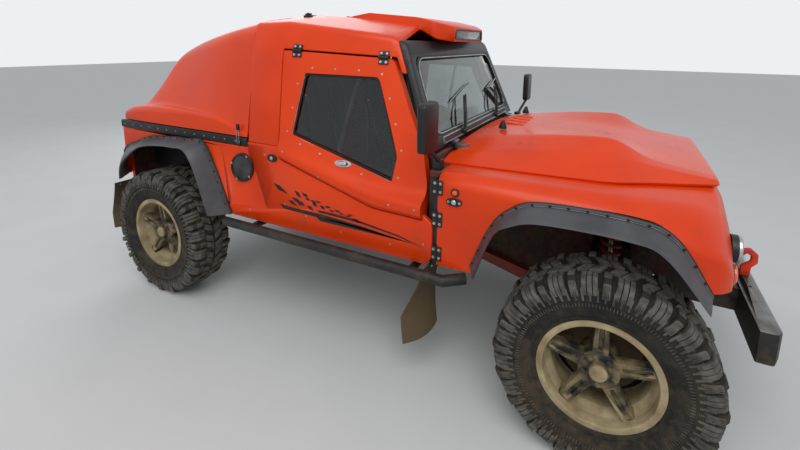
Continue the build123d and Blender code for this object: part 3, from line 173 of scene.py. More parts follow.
def makeFinish(name, facts):
    material = bpy.data.materials.new(name)
    material.use_nodes = True
    tree = material.node_tree
    shader = tree.nodes["Principled BSDF"]
    place = addNode(tree, "ShaderNodeTexCoord", {}, "Object")
    broad = noiseOf(tree, place, facts["patch"], grainFacts["patchDetail"])
    fine = noiseOf(tree, place, *grainFacts["fine"])
    share = ranged(tree, broad, grainFacts["patchLow"], grainFacts["patchHigh"])
    colour = mixedColour(tree, share, facts["colour"], facts["second"])
    rough = facts["rough"]
    roughness = ranged(tree, fine, grainFacts["low"], grainFacts["high"], rough * grainFacts["smoother"],
                       min(1.0, rough * grainFacts["rougher"]))
    if facts.get("mud"):
        height = addNode(tree, "ShaderNodeSeparateXYZ", {0: place}, "Z")
        top = facts["mudTop"]
        rise = ranged(tree, height, top, top * mudFacts["foot"], 0.0, facts["mud"])
        speckle = maths(tree, "MULTIPLY_ADD", noiseOf(tree, place, *mudFacts["speckle"]),
                        mudFacts["speckleShare"], rise)
        total = maths(tree, "MULTIPLY_ADD", noiseOf(tree, place, *mudFacts["patch"]),
                      mudFacts["patchShare"], speckle)
        cover = ranged(tree, total, mudFacts["low"], mudFacts["high"])
        colour = mixedColour(tree, cover, colour, mudFacts["colour"])
        roughness = addNode(tree, "ShaderNodeMix", {0: cover, 2: roughness, 3: mudFacts["rough"]})
    setInputs(tree, shader, {
        "Metallic": facts.get("metal", 0.0), "Coat Weight": facts.get("coat", 0.0),
        "Specular IOR Level": facts.get("shine", 0.5), "Coat Roughness": grainFacts["coatRough"],
        "Sheen Weight": facts.get("sheen", 0.0), "Transmission Weight": facts.get("glass", 0.0),
        "IOR": grainFacts["index"], "Base Color": colour, "Roughness": roughness,
    })
    if facts.get("bump"):
        relief = maths(tree, "MULTIPLY_ADD", fine, 0.5, noiseOf(tree, place, *grainFacts["coarse"]))
        normal = addNode(tree, "ShaderNodeBump", {
            "Strength": min(1.0, facts["bump"] * 2), "Distance": grainFacts["depth"], "Height": relief,
        })
        setInputs(tree, shader, {"Normal": normal})
    return material


finishes = {name: makeFinish(name, facts) for name, facts in finishTable.items()}
print("stage: finishes,", len(finishes))


# Mesh makers: each adds a closed form to a bmesh.

def addRings(form, rings, slot=0, loop=False):
    made = [[form.verts.new(point) for point in ring] for ring in rings]
    count = len(made[0])
    for near, far in zip(made, made[1:] + (made[:1] if loop else [])):
        for i in range(count):
            j = (i + 1) % count
            form.faces.new((near[i], near[j], far[j], far[i])).material_index = slot
    if not loop:
        for ring in (made[0], made[-1]):
            form.faces.new(ring).material_index = slot


def turns(count):
    return [math.tau * k / count for k in range(count)]


def ovalOf(halfWide, halfHigh, count):
    return [(halfWide * math.cos(a), halfHigh * math.sin(a)) for a in turns(count)]


def alongAt(points, i, loop=False):
    # the way along a path at one of its points
    before = points[i - 1] if i > 0 or loop else points[i]
    after = points[(i + 1) % len(points)] if i < len(points) - 1 or loop else points[i]
    return (after - before).normalized()


def addTube(form, points, radius, sides=12, slot=0, loop=False):
    points = [Vector(point) for point in points]
    radii = radius if isinstance(radius, (list, tuple)) else [radius] * len(points)
    tangents = [alongAt(points, i, loop) for i in range(len(points))]
    normal = tangents[0].orthogonal().normalized()
    rings = []
    for i, tangent in enumerate(tangents):
        if i:
            normal = tangents[i - 1].rotation_difference(tangent) @ normal
        side = tangent.cross(normal)
        rings.append([points[i] + (normal * math.cos(a) + side * math.sin(a)) * radii[i] for a in turns(sides)])
    addRings(form, rings, slot, loop)


def addLathe(form, profile, centre, axis, sides=32, slot=0, loop=False):
    axis = Vector(axis).normalized()
    across = axis.orthogonal().normalized()
    other = axis.cross(across)
    rings = []
    for radius, along in profile:
        hub = Vector(centre) + axis * along
        angles = [0] if radius < 1e-6 else turns(sides)
        rings.append([
            form.verts.new(hub + (across * math.cos(a) + other * math.sin(a)) * radius) for a in angles
        ])
    for near, far in zip(rings, rings[1:] + (rings[:1] if loop else [])):
        for i in range(sides):
            j = (i + 1) % sides
            corners = (near[i % len(near)], near[j % len(near)], far[j % len(far)], far[i % len(far)])
            corners = list(dict.fromkeys(corners))
            if len(corners) > 2:
                form.faces.new(corners).material_index = slot
    if not loop:
        for ring in (rings[0], rings[-1]):
            if len(ring) > 2:
                form.faces.new(ring).material_index = slot


def addFinished(form, part, slot, edge=0.0, segments=2, matrix=None):
    if edge:
        sharp = [e for e in part.edges if e.calc_face_angle(0) > 0.5]
        bmesh.ops.bevel(part, geom=sharp, offset=edge, segments=segments, profile=0.6, affect="EDGES",
                        clamp_overlap=True)
    for face in part.faces:
        face.material_index = slot
    if matrix:
        bmesh.ops.transform(part, matrix=matrix, verts=part.verts)
    scratch = bpy.data.meshes.new("scratch")
    part.to_mesh(scratch)
    part.free()
    form.from_mesh(scratch)
    bpy.data.meshes.remove(scratch)


def addPrism(form, outline, offset, edge=0.0, slot=0, matrix=None):
    part = bmesh.new()
    offset = Vector(offset)
    addRings(part, [[Vector(p) for p in outline], [Vector(p) + offset for p in outline]])
    bmesh.ops.recalc_face_normals(part, faces=part.faces)
    addFinished(form, part, slot, edge, matrix=matrix)


def addBox(form, low, high, edge=0.003, slot=0, matrix=None):
    outline = [(low[0], low[1], low[2]), (high[0], low[1], low[2]), (high[0], high[1], low[2]),
               (low[0], high[1], low[2])]
    addPrism(form, outline, (0, 0, high[2] - low[2]), edge, slot, matrix)


def addSideBox(form, side, xs, ys, zs, edge, slot=0):
    # a box given for the car's left side, on that side or mirrored
    low, high = sorted((side * ys[0], side * ys[1]))
    addBox(form, (xs[0], low, zs[0]), (xs[1], high, zs[1]), edge, slot)


def roundedOutline(points, radius, steps=5):
    outline = []
    count = len(points)
    radii = radius if isinstance(radius, (list, tuple)) else [radius] * count
    for i, point in enumerate(points):
        corner = Vector(point)
        back, ahead = Vector(points[i - 1]) - corner, Vector(points[(i + 1) % count]) - corner
        reach = min(radii[i], back.length * 0.48, ahead.length * 0.48)
        start, end = corner + back.normalized() * reach, corner + ahead.normalized() * reach
        for step in range(steps + 1):
            t = step / steps
            outline.append(start * (1 - t) ** 2 + corner * 2 * t * (1 - t) + end * t ** 2)
    return outline


def smoothPath(points, steps=6, loop=False):
    points = [Vector(point) for point in points]
    count = len(points)
    path = []
    for i in range(count if loop else count - 1):
        p0 = points[i - 1] if i or loop else points[0]
        p1, p2 = points[i], points[(i + 1) % count]
        p3 = points[(i + 2) % count] if loop or i + 2 < count else points[-1]
        for step in range(steps):
            t = step / steps
            path.append(0.5 * (2 * p1 + (p2 - p0) * t + (2 * p0 - 5 * p1 + 4 * p2 - p3) * t ** 2
                               + (3 * p1 - p0 - 3 * p2 + p3) * t ** 3))
    return path if loop else path + [points[-1]]


def stationCurve(stations):
    # a smooth run through rows of (x, value, value ...) that never overshoots them
    rows = sorted(stations)
    xs = [row[0] for row in rows]
    gaps = [b - a for a, b in zip(xs, xs[1:])]
    columns = list(zip(*[row[1:] for row in rows]))
    slopes = []
    for column in columns:
        steps = [(b - a) / gap for a, b, gap in zip(column, column[1:], gaps)]
        inner = [2 * p * q / (p + q) if p * q > 0 else 0 for p, q in zip(steps, steps[1:])]
        slopes.append([steps[0], *inner, steps[-1]])

    def at(x):
        i = sum(x >= edge for edge in xs[1:-1])
        h = gaps[i]
        t = (x - xs[i]) / h
        return [
            v[i] * (1 + 2 * t) * (1 - t) ** 2 + v[i + 1] * t * t * (3 - 2 * t)
            + s[i] * h * t * (1 - t) ** 2 - s[i + 1] * h * t * t * (1 - t)
            for v, s in zip(columns, slopes)
        ]

    return at


def roundedLine(points, reaches, steps=6):
    line = [points[0]]
    for back, corner, ahead, reach in zip(points, points[1:], points[2:], reaches):
        toBack, toAhead = back - corner, ahead - corner
        cut = min(reach, toBack.length * 0.45, toAhead.length * 0.45)
        start, end = corner + toBack.normalized() * cut, corner + toAhead.normalized() * cut
        shares = [step / steps for step in range(steps + 1)]
        line += [start * (1 - t) ** 2 + corner * 2 * t * (1 - t) + end * t * t for t in shares]
    return line + [points[-1]]


def addShell(form, rows, wall, inside, slots=(0, 0)):
    # a sheet through rows of points, thickened towards its inside
    sheet = bmesh.new()
    grid = [[sheet.verts.new(point) for point in row] for row in rows]
    for near, far in zip(grid, grid[1:]):
        for i in range(len(near) - 1):
            sheet.faces.new((near[i], near[i + 1], far[i + 1], far[i]))
    sheet.normal_update()
    outward = sum((face.calc_center_median() - Vector(inside)).dot(face.normal) for face in sheet.faces)
    turn = math.copysign(wall, outward)
    outer = [[form.verts.new(vert.co) for vert in row] for row in grid]
    inner = [[form.verts.new(vert.co - vert.normal * turn) for vert in row] for row in grid]
    sheet.free()
    for layer, slot in ((outer, slots[0]), (inner, slots[1])):
        for near, far in zip(layer, layer[1:]):
            for i in range(len(near) - 1):
                form.faces.new((near[i], near[i + 1], far[i + 1], far[i])).material_index = slot
    for a, b in ((outer[0], inner[0]), (outer[-1], inner[-1])):
        for i in range(len(a) - 1):
            form.faces.new((a[i], a[i + 1], b[i + 1], b[i])).material_index = slots[0]
    for column in (0, -1):
        for k in range(len(outer) - 1):
            form.faces.new((outer[k][column], outer[k + 1][column], inner[k + 1][column], inner[k][column]))


stripTaper = 0.86


def addStrip(form, points, normal, width, height, slot=0, loop=True):
    # a flat strip along a line, width across it and height along its normal
    points = [Vector(point) for point in points]
    normal = Vector(normal).normalized()
    rings = []
    for i, base in enumerate(points):
        across = alongAt(points, i, loop).cross(normal).normalized() * width / 2
        top = base + normal * height
        rings.append([base - across, base + across, top + across * stripTaper, top - across * stripTaper])
    addRings(form, rings, slot, loop)


# From a mesh to a piece

def linked(name, data):
    piece = bpy.data.objects.new(name, data)
    bpy.context.scene.collection.objects.link(piece)
    return piece


def shaded(mesh, sharp=38):
    mesh.shade_smooth()
    mesh.set_sharp_from_angle(angle=math.radians(sharp))
    return mesh


def meshOf(form, name="block"):
    bmesh.ops.recalc_face_normals(form, faces=form.faces)
    mesh = bpy.data.meshes.new(name)
    form.to_mesh(mesh)
    form.free()
    return mesh


def placed(mesh, name, body, names, replaced=()):
    mesh.name = name
    if not mesh.materials:
        for finish in names:
            mesh.materials.append(finishes[finish])
    piece = linked(name, mesh)
    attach(piece, body)
    if replaced:
        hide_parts(*replaced)
    return piece


def finished(form, name, body, names, sharp=38, replaced=()):
    return placed(shaded(meshOf(form, name), sharp), name, body, names, replaced)


# Geometry Nodes trees for what repeats

def newTree(name, inputs):
    tree = bpy.data.node_groups.new(name, "GeometryNodeTree")
    tree.interface.new_socket(name="Geometry", in_out="INPUT", socket_type="NodeSocketGeometry")
    for label, kind, value in inputs + [("Material", "NodeSocketMaterial", None)]:
        socket = tree.interface.new_socket(name=label, in_out="INPUT", socket_type=kind)
        if value is not None:
            socket.default_value = value
    tree.interface.new_socket(name="Geometry", in_out="OUTPUT", socket_type="NodeSocketGeometry")
    return tree, tree.nodes.new("NodeGroupInput").outputs


def closeTree(tree, given, instances):
    real = addNode(tree, "GeometryNodeRealizeInstances", {"Geometry": instances})
    made = addNode(tree, "GeometryNodeSetMaterial", {"Geometry": real, "Material": given["Material"]})
    tree.links.new(made, tree.nodes.new("NodeGroupOutput").inputs[0])
    return tree


def makeFastenerTree():
    # a washer and a tapered head on each point, along the point's facing
    tree, given = newTree("fastenerHeads", [
        ("Radius", "NodeSocketFloat", 0.006), ("Height", "NodeSocketFloat", 0.004),
        ("Sides", "NodeSocketInt", 6),
    ])
    facing = addNode(tree, "GeometryNodeInputNamedAttribute", {"Name": "facing"}, data_type="FLOAT_VECTOR")
    turn = addNode(tree, "FunctionNodeAlignRotationToVector", {"Vector": facing}, axis="Z")
    spin = addNode(tree, "FunctionNodeRandomValue", {2: 0.0, 3: 6.28, "Seed": 11}, 1)
    spun = addNode(tree, "FunctionNodeAxisAngleToRotation", {"Axis": (0, 0, 1), "Angle": spin})
    turned = addNode(tree, "FunctionNodeRotateRotation", {0: turn, 1: spun}, rotation_space="LOCAL")
    wide = maths(tree, "MULTIPLY", given["Radius"], 1.5)
    washer = addNode(tree, "GeometryNodeMeshCone", {
        "Vertices": 14, "Radius Bottom": wide, "Radius Top": wide,
        "Depth": maths(tree, "MULTIPLY", given["Height"], 0.25),
    })
    head = addNode(tree, "GeometryNodeMeshCone", {
        "Vertices": given["Sides"], "Radius Bottom": given["Radius"],
        "Radius Top": maths(tree, "MULTIPLY", given["Radius"], 0.8), "Depth": given["Height"],
    })
    both = tree.nodes.new("GeometryNodeJoinGeometry")
    for shape in (washer, head):
        tree.links.new(shape, both.inputs[0])
    spread = addNode(tree, "GeometryNodeInstanceOnPoints", {
        "Points": given["Geometry"], "Instance": both.outputs[0], "Rotation": turned,
    })
    return closeTree(tree, given, spread)


def makeAroundTree():
    # copies of a block, turned about the Y axis and moved to a centre
    tree, given = newTree("blocksAroundAxle", [
        ("Count", "NodeSocketInt", 20), ("Phase", "NodeSocketFloat", 0.0),
        ("Centre", "NodeSocketVector", (0, 0, 0)),
    ])
    index = addNode(tree, "GeometryNodeInputIndex", {})
    share = maths(tree, "DIVIDE", maths(tree, "ADD", index, given["Phase"]), given["Count"])
    angle = maths(tree, "MULTIPLY", share, math.tau)
    turn = addNode(tree, "FunctionNodeAxisAngleToRotation", {"Axis": (0, 1, 0), "Angle": angle})
    points = addNode(tree, "GeometryNodePoints", {"Count": given["Count"]})
    spread = addNode(tree, "GeometryNodeInstanceOnPoints", {
        "Points": points, "Instance": given["Geometry"], "Rotation": turn,
    })
    moved = addNode(tree, "GeometryNodeTransform", {"Geometry": spread, "Translation": given["Centre"]})
    return closeTree(tree, given, moved)


def makeGridTree():
    # copies of a block in rows, from a start along two steps
    tree, given = newTree("blocksInRows", [
        ("Count", "NodeSocketInt", 10), ("Rows", "NodeSocketInt", 1), ("Start", "NodeSocketVector", (0, 0, 0)),
        ("Step", "NodeSocketVector", (0, 0, 0)), ("Row Step", "NodeSocketVector", (0, 0, 0)),
    ])
    index = addNode(tree, "GeometryNodeInputIndex", {})
    column = maths(tree, "FLOORED_MODULO", index, given["Count"])
    row = maths(tree, "FLOOR", maths(tree, "DIVIDE", index, given["Count"]))
    place = given["Start"]
    for step, share in ((given["Step"], column), (given["Row Step"], row)):
        moved = addNode(tree, "ShaderNodeVectorMath", {0: step, "Scale": share}, operation="SCALE")
        place = addNode(tree, "ShaderNodeVectorMath", {0: place, 1: moved}, operation="ADD")
    total = maths(tree, "MULTIPLY", given["Count"], given["Rows"])
    points = addNode(tree, "GeometryNodePoints", {"Count": total, "Position": place})
    spread = addNode(tree, "GeometryNodeInstanceOnPoints", {"Points": points, "Instance": given["Geometry"]})
    return closeTree(tree, given, spread)


def makeCoilTree():
    # a coil spring wound upward from a foot
    tree, given = newTree("coilSpring", [
        ("Radius", "NodeSocketFloat", 0.06), ("Wire", "NodeSocketFloat", 0.007),
        ("Turns", "NodeSocketFloat", 8.0),
        ("Height", "NodeSocketFloat", 0.3), ("Foot", "NodeSocketVector", (0, 0, 0)),
    ])
    coil = addNode(tree, "GeometryNodeCurveSpiral", {
        "Resolution": 22, "Rotations": given["Turns"], "Start Radius": given["Radius"],
        "End Radius": given["Radius"], "Height": given["Height"],
    })
    wire = addNode(tree, "GeometryNodeCurvePrimitiveCircle", {"Resolution": 10, "Radius": given["Wire"]})
    solid = addNode(tree, "GeometryNodeCurveToMesh", {"Curve": coil, "Profile Curve": wire, "Fill Caps": True})
    moved = addNode(tree, "GeometryNodeTransform", {"Geometry": solid, "Translation": given["Foot"]})
    return closeTree(tree, given, moved)


fastenerTree = makeFastenerTree()
aroundTree = makeAroundTree()
gridTree = makeGridTree()
coilTree = makeCoilTree()


def baked(holder):
    # the mesh that a holder's modifiers leave, once the holder is gone
    bpy.context.view_layer.update()
    mesh = bpy.data.meshes.new_from_object(holder.evaluated_get(bpy.context.evaluated_depsgraph_get()))
    bpy.data.objects.remove(holder)
    return mesh


def grown(tree, source, values, finish):
    holder = linked("holder", source)
    modifier = holder.modifiers.new("grow", "NODES")
    modifier.node_group = tree
    values = {**values, "Material": finishes[finish]}
    for socket in tree.interface.items_tree:
        if socket.in_out == "INPUT" and socket.name in values:
            modifier[socket.identifier] = values[socket.name]
    holder.update_tag()
    return shaded(baked(holder))


def cutBy(mesh, cutter, operation="DIFFERENCE"):
    # the mesh with the cutter's volume taken out, or only what lies in it
    target, tool = linked("target", mesh), linked("tool", cutter)
    cut = target.modifiers.new("cut", "BOOLEAN")
    cut.operation = operation
    cut.solver = "EXACT"
    cut.object = tool
    result = baked(target)
    bpy.data.objects.remove(tool)
    return result


def joined(meshes):
    form = bmesh.new()
    materials = []
    for mesh in meshes:
        shift = len(materials)
        start = len(form.faces)
        form.from_mesh(mesh)
        form.faces.ensure_lookup_table()
        for face in form.faces[start:]:
            face.material_index += shift
        materials += list(mesh.materials)
    whole = bpy.data.meshes.new("joined")
    form.to_mesh(whole)
    form.free()
    for material in materials:
        whole.materials.append(material)
    return shaded(whole)


def addHeads(name, body, places, radius, height, sides=12, finish="silver"):
    # places holds pairs of a point and the way that the head faces
    mesh = bpy.data.meshes.new("heads")
    mesh.from_pydata([tuple(point) for point, facing in places], [], [])
    attribute = mesh.attributes.new("facing", "FLOAT_VECTOR", "POINT")
    attribute.data.foreach_set("vector", [c for point, facing in places for c in facing])
    heads = grown(fastenerTree, mesh, {"Radius": radius, "Height": height, "Sides": sides}, finish)
    placed(heads, name, body, [finish])


def spacedAlong(points, gap):
    points = [Vector(point) for point in points]
    spots = []
    carried = gap / 2
    for start, end in zip(points, points[1:]):
        length = (end - start).length
        while carried < length:
            spots.append(start.lerp(end, carried / length))
            carried += gap
        carried -= length
    return spots


def mirroredPlaces(places):
    flipped = [((p[0], -p[1], p[2]), (f[0], -f[1], f[2])) for p, f in places]
    return list(places) + flipped


# Softened copies of CAD nodes: their own shape with rounded edges

softFacts = dict(merge=2e-5, flat=0.6, sharp=48)


def softened(node, names, width, limit=25, segments=2, avoid=(), reach=0.0, paintBy=None, carve=None):
    form = bmesh.new()
    form.from_mesh(nodes[node].data)
    bmesh.ops.remove_doubles(form, verts=form.verts, dist=softFacts["merge"])
    if carve:
        merged = bpy.data.meshes.new("merged")
        form.to_mesh(merged)
        form.clear()
        form.from_mesh(cutBy(merged, carve()))
        bmesh.ops.remove_doubles(form, verts=form.verts, dist=softFacts["merge"])
    bmesh.ops.dissolve_limit(form, angle_limit=math.radians(softFacts["flat"]), verts=form.verts,
                             edges=form.edges)
    weights = form.edges.layers.float.new("bevel_weight_edge")
    for edge in form.edges:
        middle = (edge.verts[0].co + edge.verts[1].co) / 2
        near = any((middle - Vector(spot)).length < reach for spot in avoid)
        if edge.is_manifold and edge.calc_face_angle(0) > math.radians(limit) and not near:
            edge[weights] = 1.0
    mesh = bpy.data.meshes.new(node + "_soft")
    form.to_mesh(mesh)
    form.free()
    for finish in names:
        mesh.materials.append(finishes[finish])
    mesh.shade_smooth()
    holder = linked("holder", mesh)
    bevel = holder.modifiers.new("edges", "BEVEL")
    bevel.limit_method = "WEIGHT"
    bevel.width = width
    bevel.segments = segments
    bevel.use_clamp_overlap = False
    bevel.miter_outer = "MITER_ARC"
    result = shaded(baked(holder), softFacts["sharp"])
    if paintBy:
        for face in result.polygons:
            face.material_index = paintBy(face)
    placed(result, node + "_skin", bodyOfNode[node], names, [node])


# CAD nodes that keep their own mesh and take a finish

dressTable = {
    "chassis": "frameBlack", "axles": "castings", "powertrain": "castings", "floor_pans": "frameBlack",
    "roll_cage": "frameBlack", "windscreen_glass": "screenGlass", "hinges": "blackPlastic",
    "radiator": "bareMetal", "dashboard": "blackPlastic", "door_glass_left": "sideGlass",
    "door_glass_right": "sideGlass", "knuckle_left": "castings", "knuckle_right": "castings",
    "wipers": "frameBlack", "steering_wheel": "blackPlastic",
}
for node, finish in dressTable.items():
    for slot in nodes[node].material_slots:
        slot.link = "OBJECT"
        slot.material = finishes[finish]


# What the rounded nodes need: where edges stay sharp, which inside faces take a painted shade, and the intake
# recess, which is deepest along its foot and runs out under the strip

lampRecess = [(0.368, y, 1.636) for y in (-0.226, -0.11, 0.0, 0.11, 0.226)]
insideShadeFacts = dict(y=0.80, tailX=-1.738)


# faces inside the body's outer sides and ahead of its tail take the dark red, a painted shade of the paint
def paintedInsideShade(face):
    return 1 if abs(face.center.y) < insideShadeFacts["y"] and face.center.x > insideShadeFacts["tailX"] else 0


recessFacts = dict(outline=[(-0.800, 1.014), (-0.588, 1.017), (-0.470, 0.686), (-0.766, 0.650)], round=0.014,
                   faceY=0.845, edgeY=0.822, edgeStep=0.02, topY=0.8326, topZ=1.020, fall=0.0594)
recessLoop = [(x, z, 0) for x, z in recessFacts["outline"] + recessFacts["outline"][:1]]
recessEdges = [
    (p.x, side * recessFacts["edgeY"], p.y)
    for side in bothSides for p in spacedAlong(recessLoop, recessFacts["edgeStep"])
]


def recessDepthAt(z):
    return recessFacts["topY"] - (recessFacts["topZ"] - z) * recessFacts["fall"]


def makeRecess():
    form = bmesh.new()
    outline = roundedOutline(recessFacts["outline"], recessFacts["round"])
    for side in bothSides:
        faceRing = [(p.x, side * recessFacts["faceY"], p.y) for p in outline]
        addRings(form, [faceRing, [(p.x, side * recessDepthAt(p.y), p.y) for p in outline]])
    return meshOf(form)


# the black bumper's upward faces take bare metal as a painted grey reflection
def topPaintedReflection(face):
    return 0 if face.normal.z > 0.6 else 1


softTable = {
    "roof_shell": dict(names=["paint"], width=0.006, segments=3, avoid=lampRecess, reach=0.075),
    "body_sides": dict(names=["paint", "insideShadeRed"], width=0.006, avoid=recessEdges, reach=0.035,
                       paintBy=paintedInsideShade, carve=makeRecess),
    "side_strips": dict(names=["stripRubber"], width=0.003),
    "scuttle": dict(names=["darkPaint"], width=0.005),
    "hinge_posts": dict(names=["frameBlack"], width=0.003),
    "windscreen_frame": dict(names=["blackPlastic"], width=0.005),
    "front_bumper": dict(names=["bareMetal", "frameBlack"], width=0.004, paintBy=topPaintedReflection),
    "fairlead": dict(names=["silver"], width=0.004),
    "tow_hook": dict(names=["orangeStrap"], width=0.004),
    "grille": dict(names=["blackPlastic"], width=0.0015),
    "mirrors": dict(names=["blackPlastic"], width=0.004),
    "sliders": dict(names=["frameBlack"], width=0.002),
    "seats": dict(names=["seatCloth"], width=0.018, segments=3),
}
for node, facts in softTable.items():
    softened(node, **facts)
print("stage: softened panels,", len(softTable))


# Bonnet, wings and canopy: smooth sheets through the CAD's stations

panelWall = 0.012
bonnetFacts = dict(edgeZ=1.050, humpY=0.395, valleyY=0.190, creaseGap=0.02, hinge=(0.484, 1.106), hingeY=0.5,
                   notch=0.045, notchDepth=0.018, rearX=0.490, ribHalf=0.015,
                   rounds=[0.045, 0.004, 0.004, 0.09, 0.09, 0.09, 0.09, 0.004, 0.004, 0.045])
bonnetStations = [
    (0.490, 0.684, 0.600, 1.066, 1.096, 1.106), (0.650, 0.674, 0.560, 1.096, 1.138, 1.156),
    (1.160, 0.640, 0.500, 1.132, 1.186, 1.142), (1.350, 0.560, 0.462, 1.094, 1.106, 1.104),
    (1.581, 0.460, 0.440, 1.062, 1.066, 1.068),
]


def mirroredLine(half):
    return [Vector((p.x, -p.y, p.z)) for p in half] + half[::-1]


def bonnetRow(x, height=1.0):
    edge, crease, creaseZ, humpZ, valleyZ = bonnetCurve(x)
    edgeZ = bonnetFacts["edgeZ"]
    humpY = min(bonnetFacts["humpY"], crease - bonnetFacts["creaseGap"])
    creasePoint, humpPoint = Vector((x, crease, creaseZ)), Vector((x, humpY, humpZ))
    half = [Vector((x, edge, edgeZ)), creasePoint, creasePoint.lerp(humpPoint, 0.30),
            creasePoint.lerp(humpPoint, 0.67), humpPoint, Vector((x, bonnetFacts["valleyY"], valleyZ))]
    line = roundedLine(mirroredLine(half), bonnetFacts["rounds"])
    for point in line:
        point.z = edgeZ + (point.z - edgeZ) * height
        if x < 0.5 and abs(abs(point.y) - bonnetFacts["hingeY"]) < bonnetFacts["notch"]:
            point.x += bonnetFacts["notchDepth"]
    return line


bonnetCurve = stationCurve(bonnetStations)
rows = [bonnetRow(bonnetFacts["rearX"])] + [bonnetRow(0.510 + 1.062 * k / 44) for k in range(45)]
rows += [bonnetRow(x, height) for x, height in ((1.5765, 0.94), (1.5797, 0.8), (1.581, 0.5), (1.5805, 0.06))]
form = bmesh.new()
# the bonnet's inner skin takes the dark red of painted shade
addShell(form, rows, panelWall, (1.0, 0, 0.8), (0, 1))
bonnetRib = [(0.504, 1.100), (0.520, 1.124), (0.651, 1.167), (0.736, 1.163), (0.750, 1.146), (0.651, 1.148)]
for y in (-0.126, -0.042, 0.042, 0.126):
    half = bonnetFacts["ribHalf"]
    addPrism(form, [(x, y - half, z) for x, z in bonnetRib], (0, 2 * half, 0), 0.006)
for side in bothSides:
    y = side * bonnetFacts["hingeY"]
    hingeX, hingeZ = bonnetFacts["hinge"]
    addBox(form, (bonnetFacts["rearX"], y - 0.020, 1.076), (0.556, y + 0.020, 1.102), 0.003, slot=2)
    addLathe(form, [(0.0061, -0.020), (0.012, -0.020), (0.012, 0.020), (0.0061, 0.020)], (hingeX, y, hingeZ),
             (0, 1, 0), 20, slot=2, loop=True)
finished(form, "bonnet_panel", "bonnet", ["paint", "insideShadeRed", "bareMetal"], sharp=50, replaced=["bonnet"])

canopyFacts = dict(footZ=1.075, frontX=-0.591, length=1.138, hinge=(-0.588, 1.748), hingeY=0.25,
                   rounds=[0.035, 0.05, 0.08, 0.16, 0.16, 0.08, 0.05, 0.035])
canopyStations = [
    (-0.591, 0.834, 1.086, 0.830, 0.727, 1.688, 1.750), (-0.910, 0.829, 1.165, 0.800, 0.700, 1.628, 1.708),
    (-1.340, 0.826, 1.180, 0.752, 0.640, 1.515, 1.580), (-1.640, 0.820, 1.156, 0.730, 0.690, 1.190, 1.205),
    (-1.740, 0.806, 1.126, 0.720, 0.680, 1.130, 1.134),
]
canopyCurve = stationCurve(canopyStations)


def canopyRow(x, height=1.0):
    haunch, haunchZ, foot, ridge, ridgeZ, crownZ = canopyCurve(x)
    footZ = canopyFacts["footZ"]
    half = [Vector((x, haunch + 0.002, footZ)), Vector((x, haunch, haunchZ)), Vector((x, foot, haunchZ + 0.01)),
            Vector((x, ridge, ridgeZ)), Vector((x, ridge / 2, crownZ - 0.01))]
    line = roundedLine(mirroredLine(half), canopyFacts["rounds"])
    for point in line:
        point.z = footZ + (point.z - footZ) * height
    return line


rows = [canopyRow(canopyFacts["frontX"] - canopyFacts["length"] * k / 44) for k in range(45)]
rows += [canopyRow(x, height) for x, height in ((-1.7355, 0.96), (-1.739, 0.86), (-1.740, 0.6),
                                                (-1.7395, 0.05))]
form = bmesh.new()
# the canopy's inner skin takes the dark red of painted shade
addShell(form, rows, panelWall, (-1.1, 0, 0.9), (0, 1))
for side in bothSides:
    y = side * canopyFacts["hingeY"]
    hingeX, hingeZ = canopyFacts["hinge"]
    addBox(form, (-0.646, y - 0.025, 1.741), (-0.592, y + 0.025, 1.7495), 0.002, slot=2)
    addLathe(form, [(0, -0.012), (0.007, -0.012), (0.007, 0.012), (0, 0.012)], (hingeX, y, hingeZ), (0, 1, 0),
             16, slot=2)
finished(form, "canopy_panel", "rear_canopy", ["paint", "insideShadeRed", "blackPlastic"], sharp=50,
         replaced=["rear_canopy"])

wingStations = [
    (0.535, 0.640, 0.790, 1.042, 0.832, 1.004), (1.000, 0.600, 0.770, 1.040, 0.832, 0.985),
    (1.300, 0.505, 0.735, 1.028, 0.830, 0.955), (1.485, 0.450, 0.690, 1.008, 0.814, 0.915),
    (1.565, 0.425, 0.650, 0.975, 0.784, 0.872), (1.610, 0.415, 0.620, 0.905, 0.740, 0.800),
]
wingCurve = stationCurve(wingStations)
frontArch = [(-0.529, 0.650), (-0.456, 0.836), (-0.385, 0.930), (-0.260, 0.988), (0.060, 0.988), (0.200, 0.938),
             (0.326, 0.750)]
frontLip = [(-0.484, 0.655), (-0.415, 0.850), (-0.350, 0.908), (-0.235, 0.942), (0.050, 0.942), (0.165, 0.905),
            (0.300, 0.745)]
rearArch = [(-0.418, 0.700), (-0.395, 0.880), (-0.265, 0.940), (-0.090, 0.992), (0.240, 1.014), (0.400, 0.985),
            (0.576, 0.605)]
rearLip = [(-0.335, 0.700), (-0.305, 0.800), (-0.165, 0.905), (-0.030, 0.955), (0.205, 0.976), (0.360, 0.940),
           (0.495, 0.612)]


def archLine(offsets, axleX):
    return smoothPath([(axleX + dx, 0, z) for dx, z in offsets], 8)


wingFacts = dict(rearX=0.535, bendX=1.485, noseX=1.595, noseRound=0.014, closeX=1.6095, innerY=0.417, lowZ=0.7535,
                 topZ=1.043, sillZ=0.619, cheekZ=0.752, rounds=[0.07, 0.07, 0.02], archShrink=0.986,
                 archDrop=0.005, archFoot=0.3)


def wingRow(x, side, inset=0.0):
    inner, shoulder, shoulderZ, wide, wideZ = wingCurve(x)
    low = wingFacts["sillZ"] if x < frontAxleX else wingFacts["cheekZ"]
    points = [Vector((x, inner, min(wingFacts["topZ"], shoulderZ + 0.07))), Vector((x, shoulder, shoulderZ)),
              Vector((x, wide, wideZ)), Vector((x, wide, (wideZ + low) / 2)), Vector((x, wide, low))]
    line = roundedLine(points, wingFacts["rounds"], 8)
    corner = Vector((x, inner, low))
    line = [p + (corner - p).normalized() * inset for p in line]
    return [Vector((p.x, p.y * side, p.z)) for p in line]


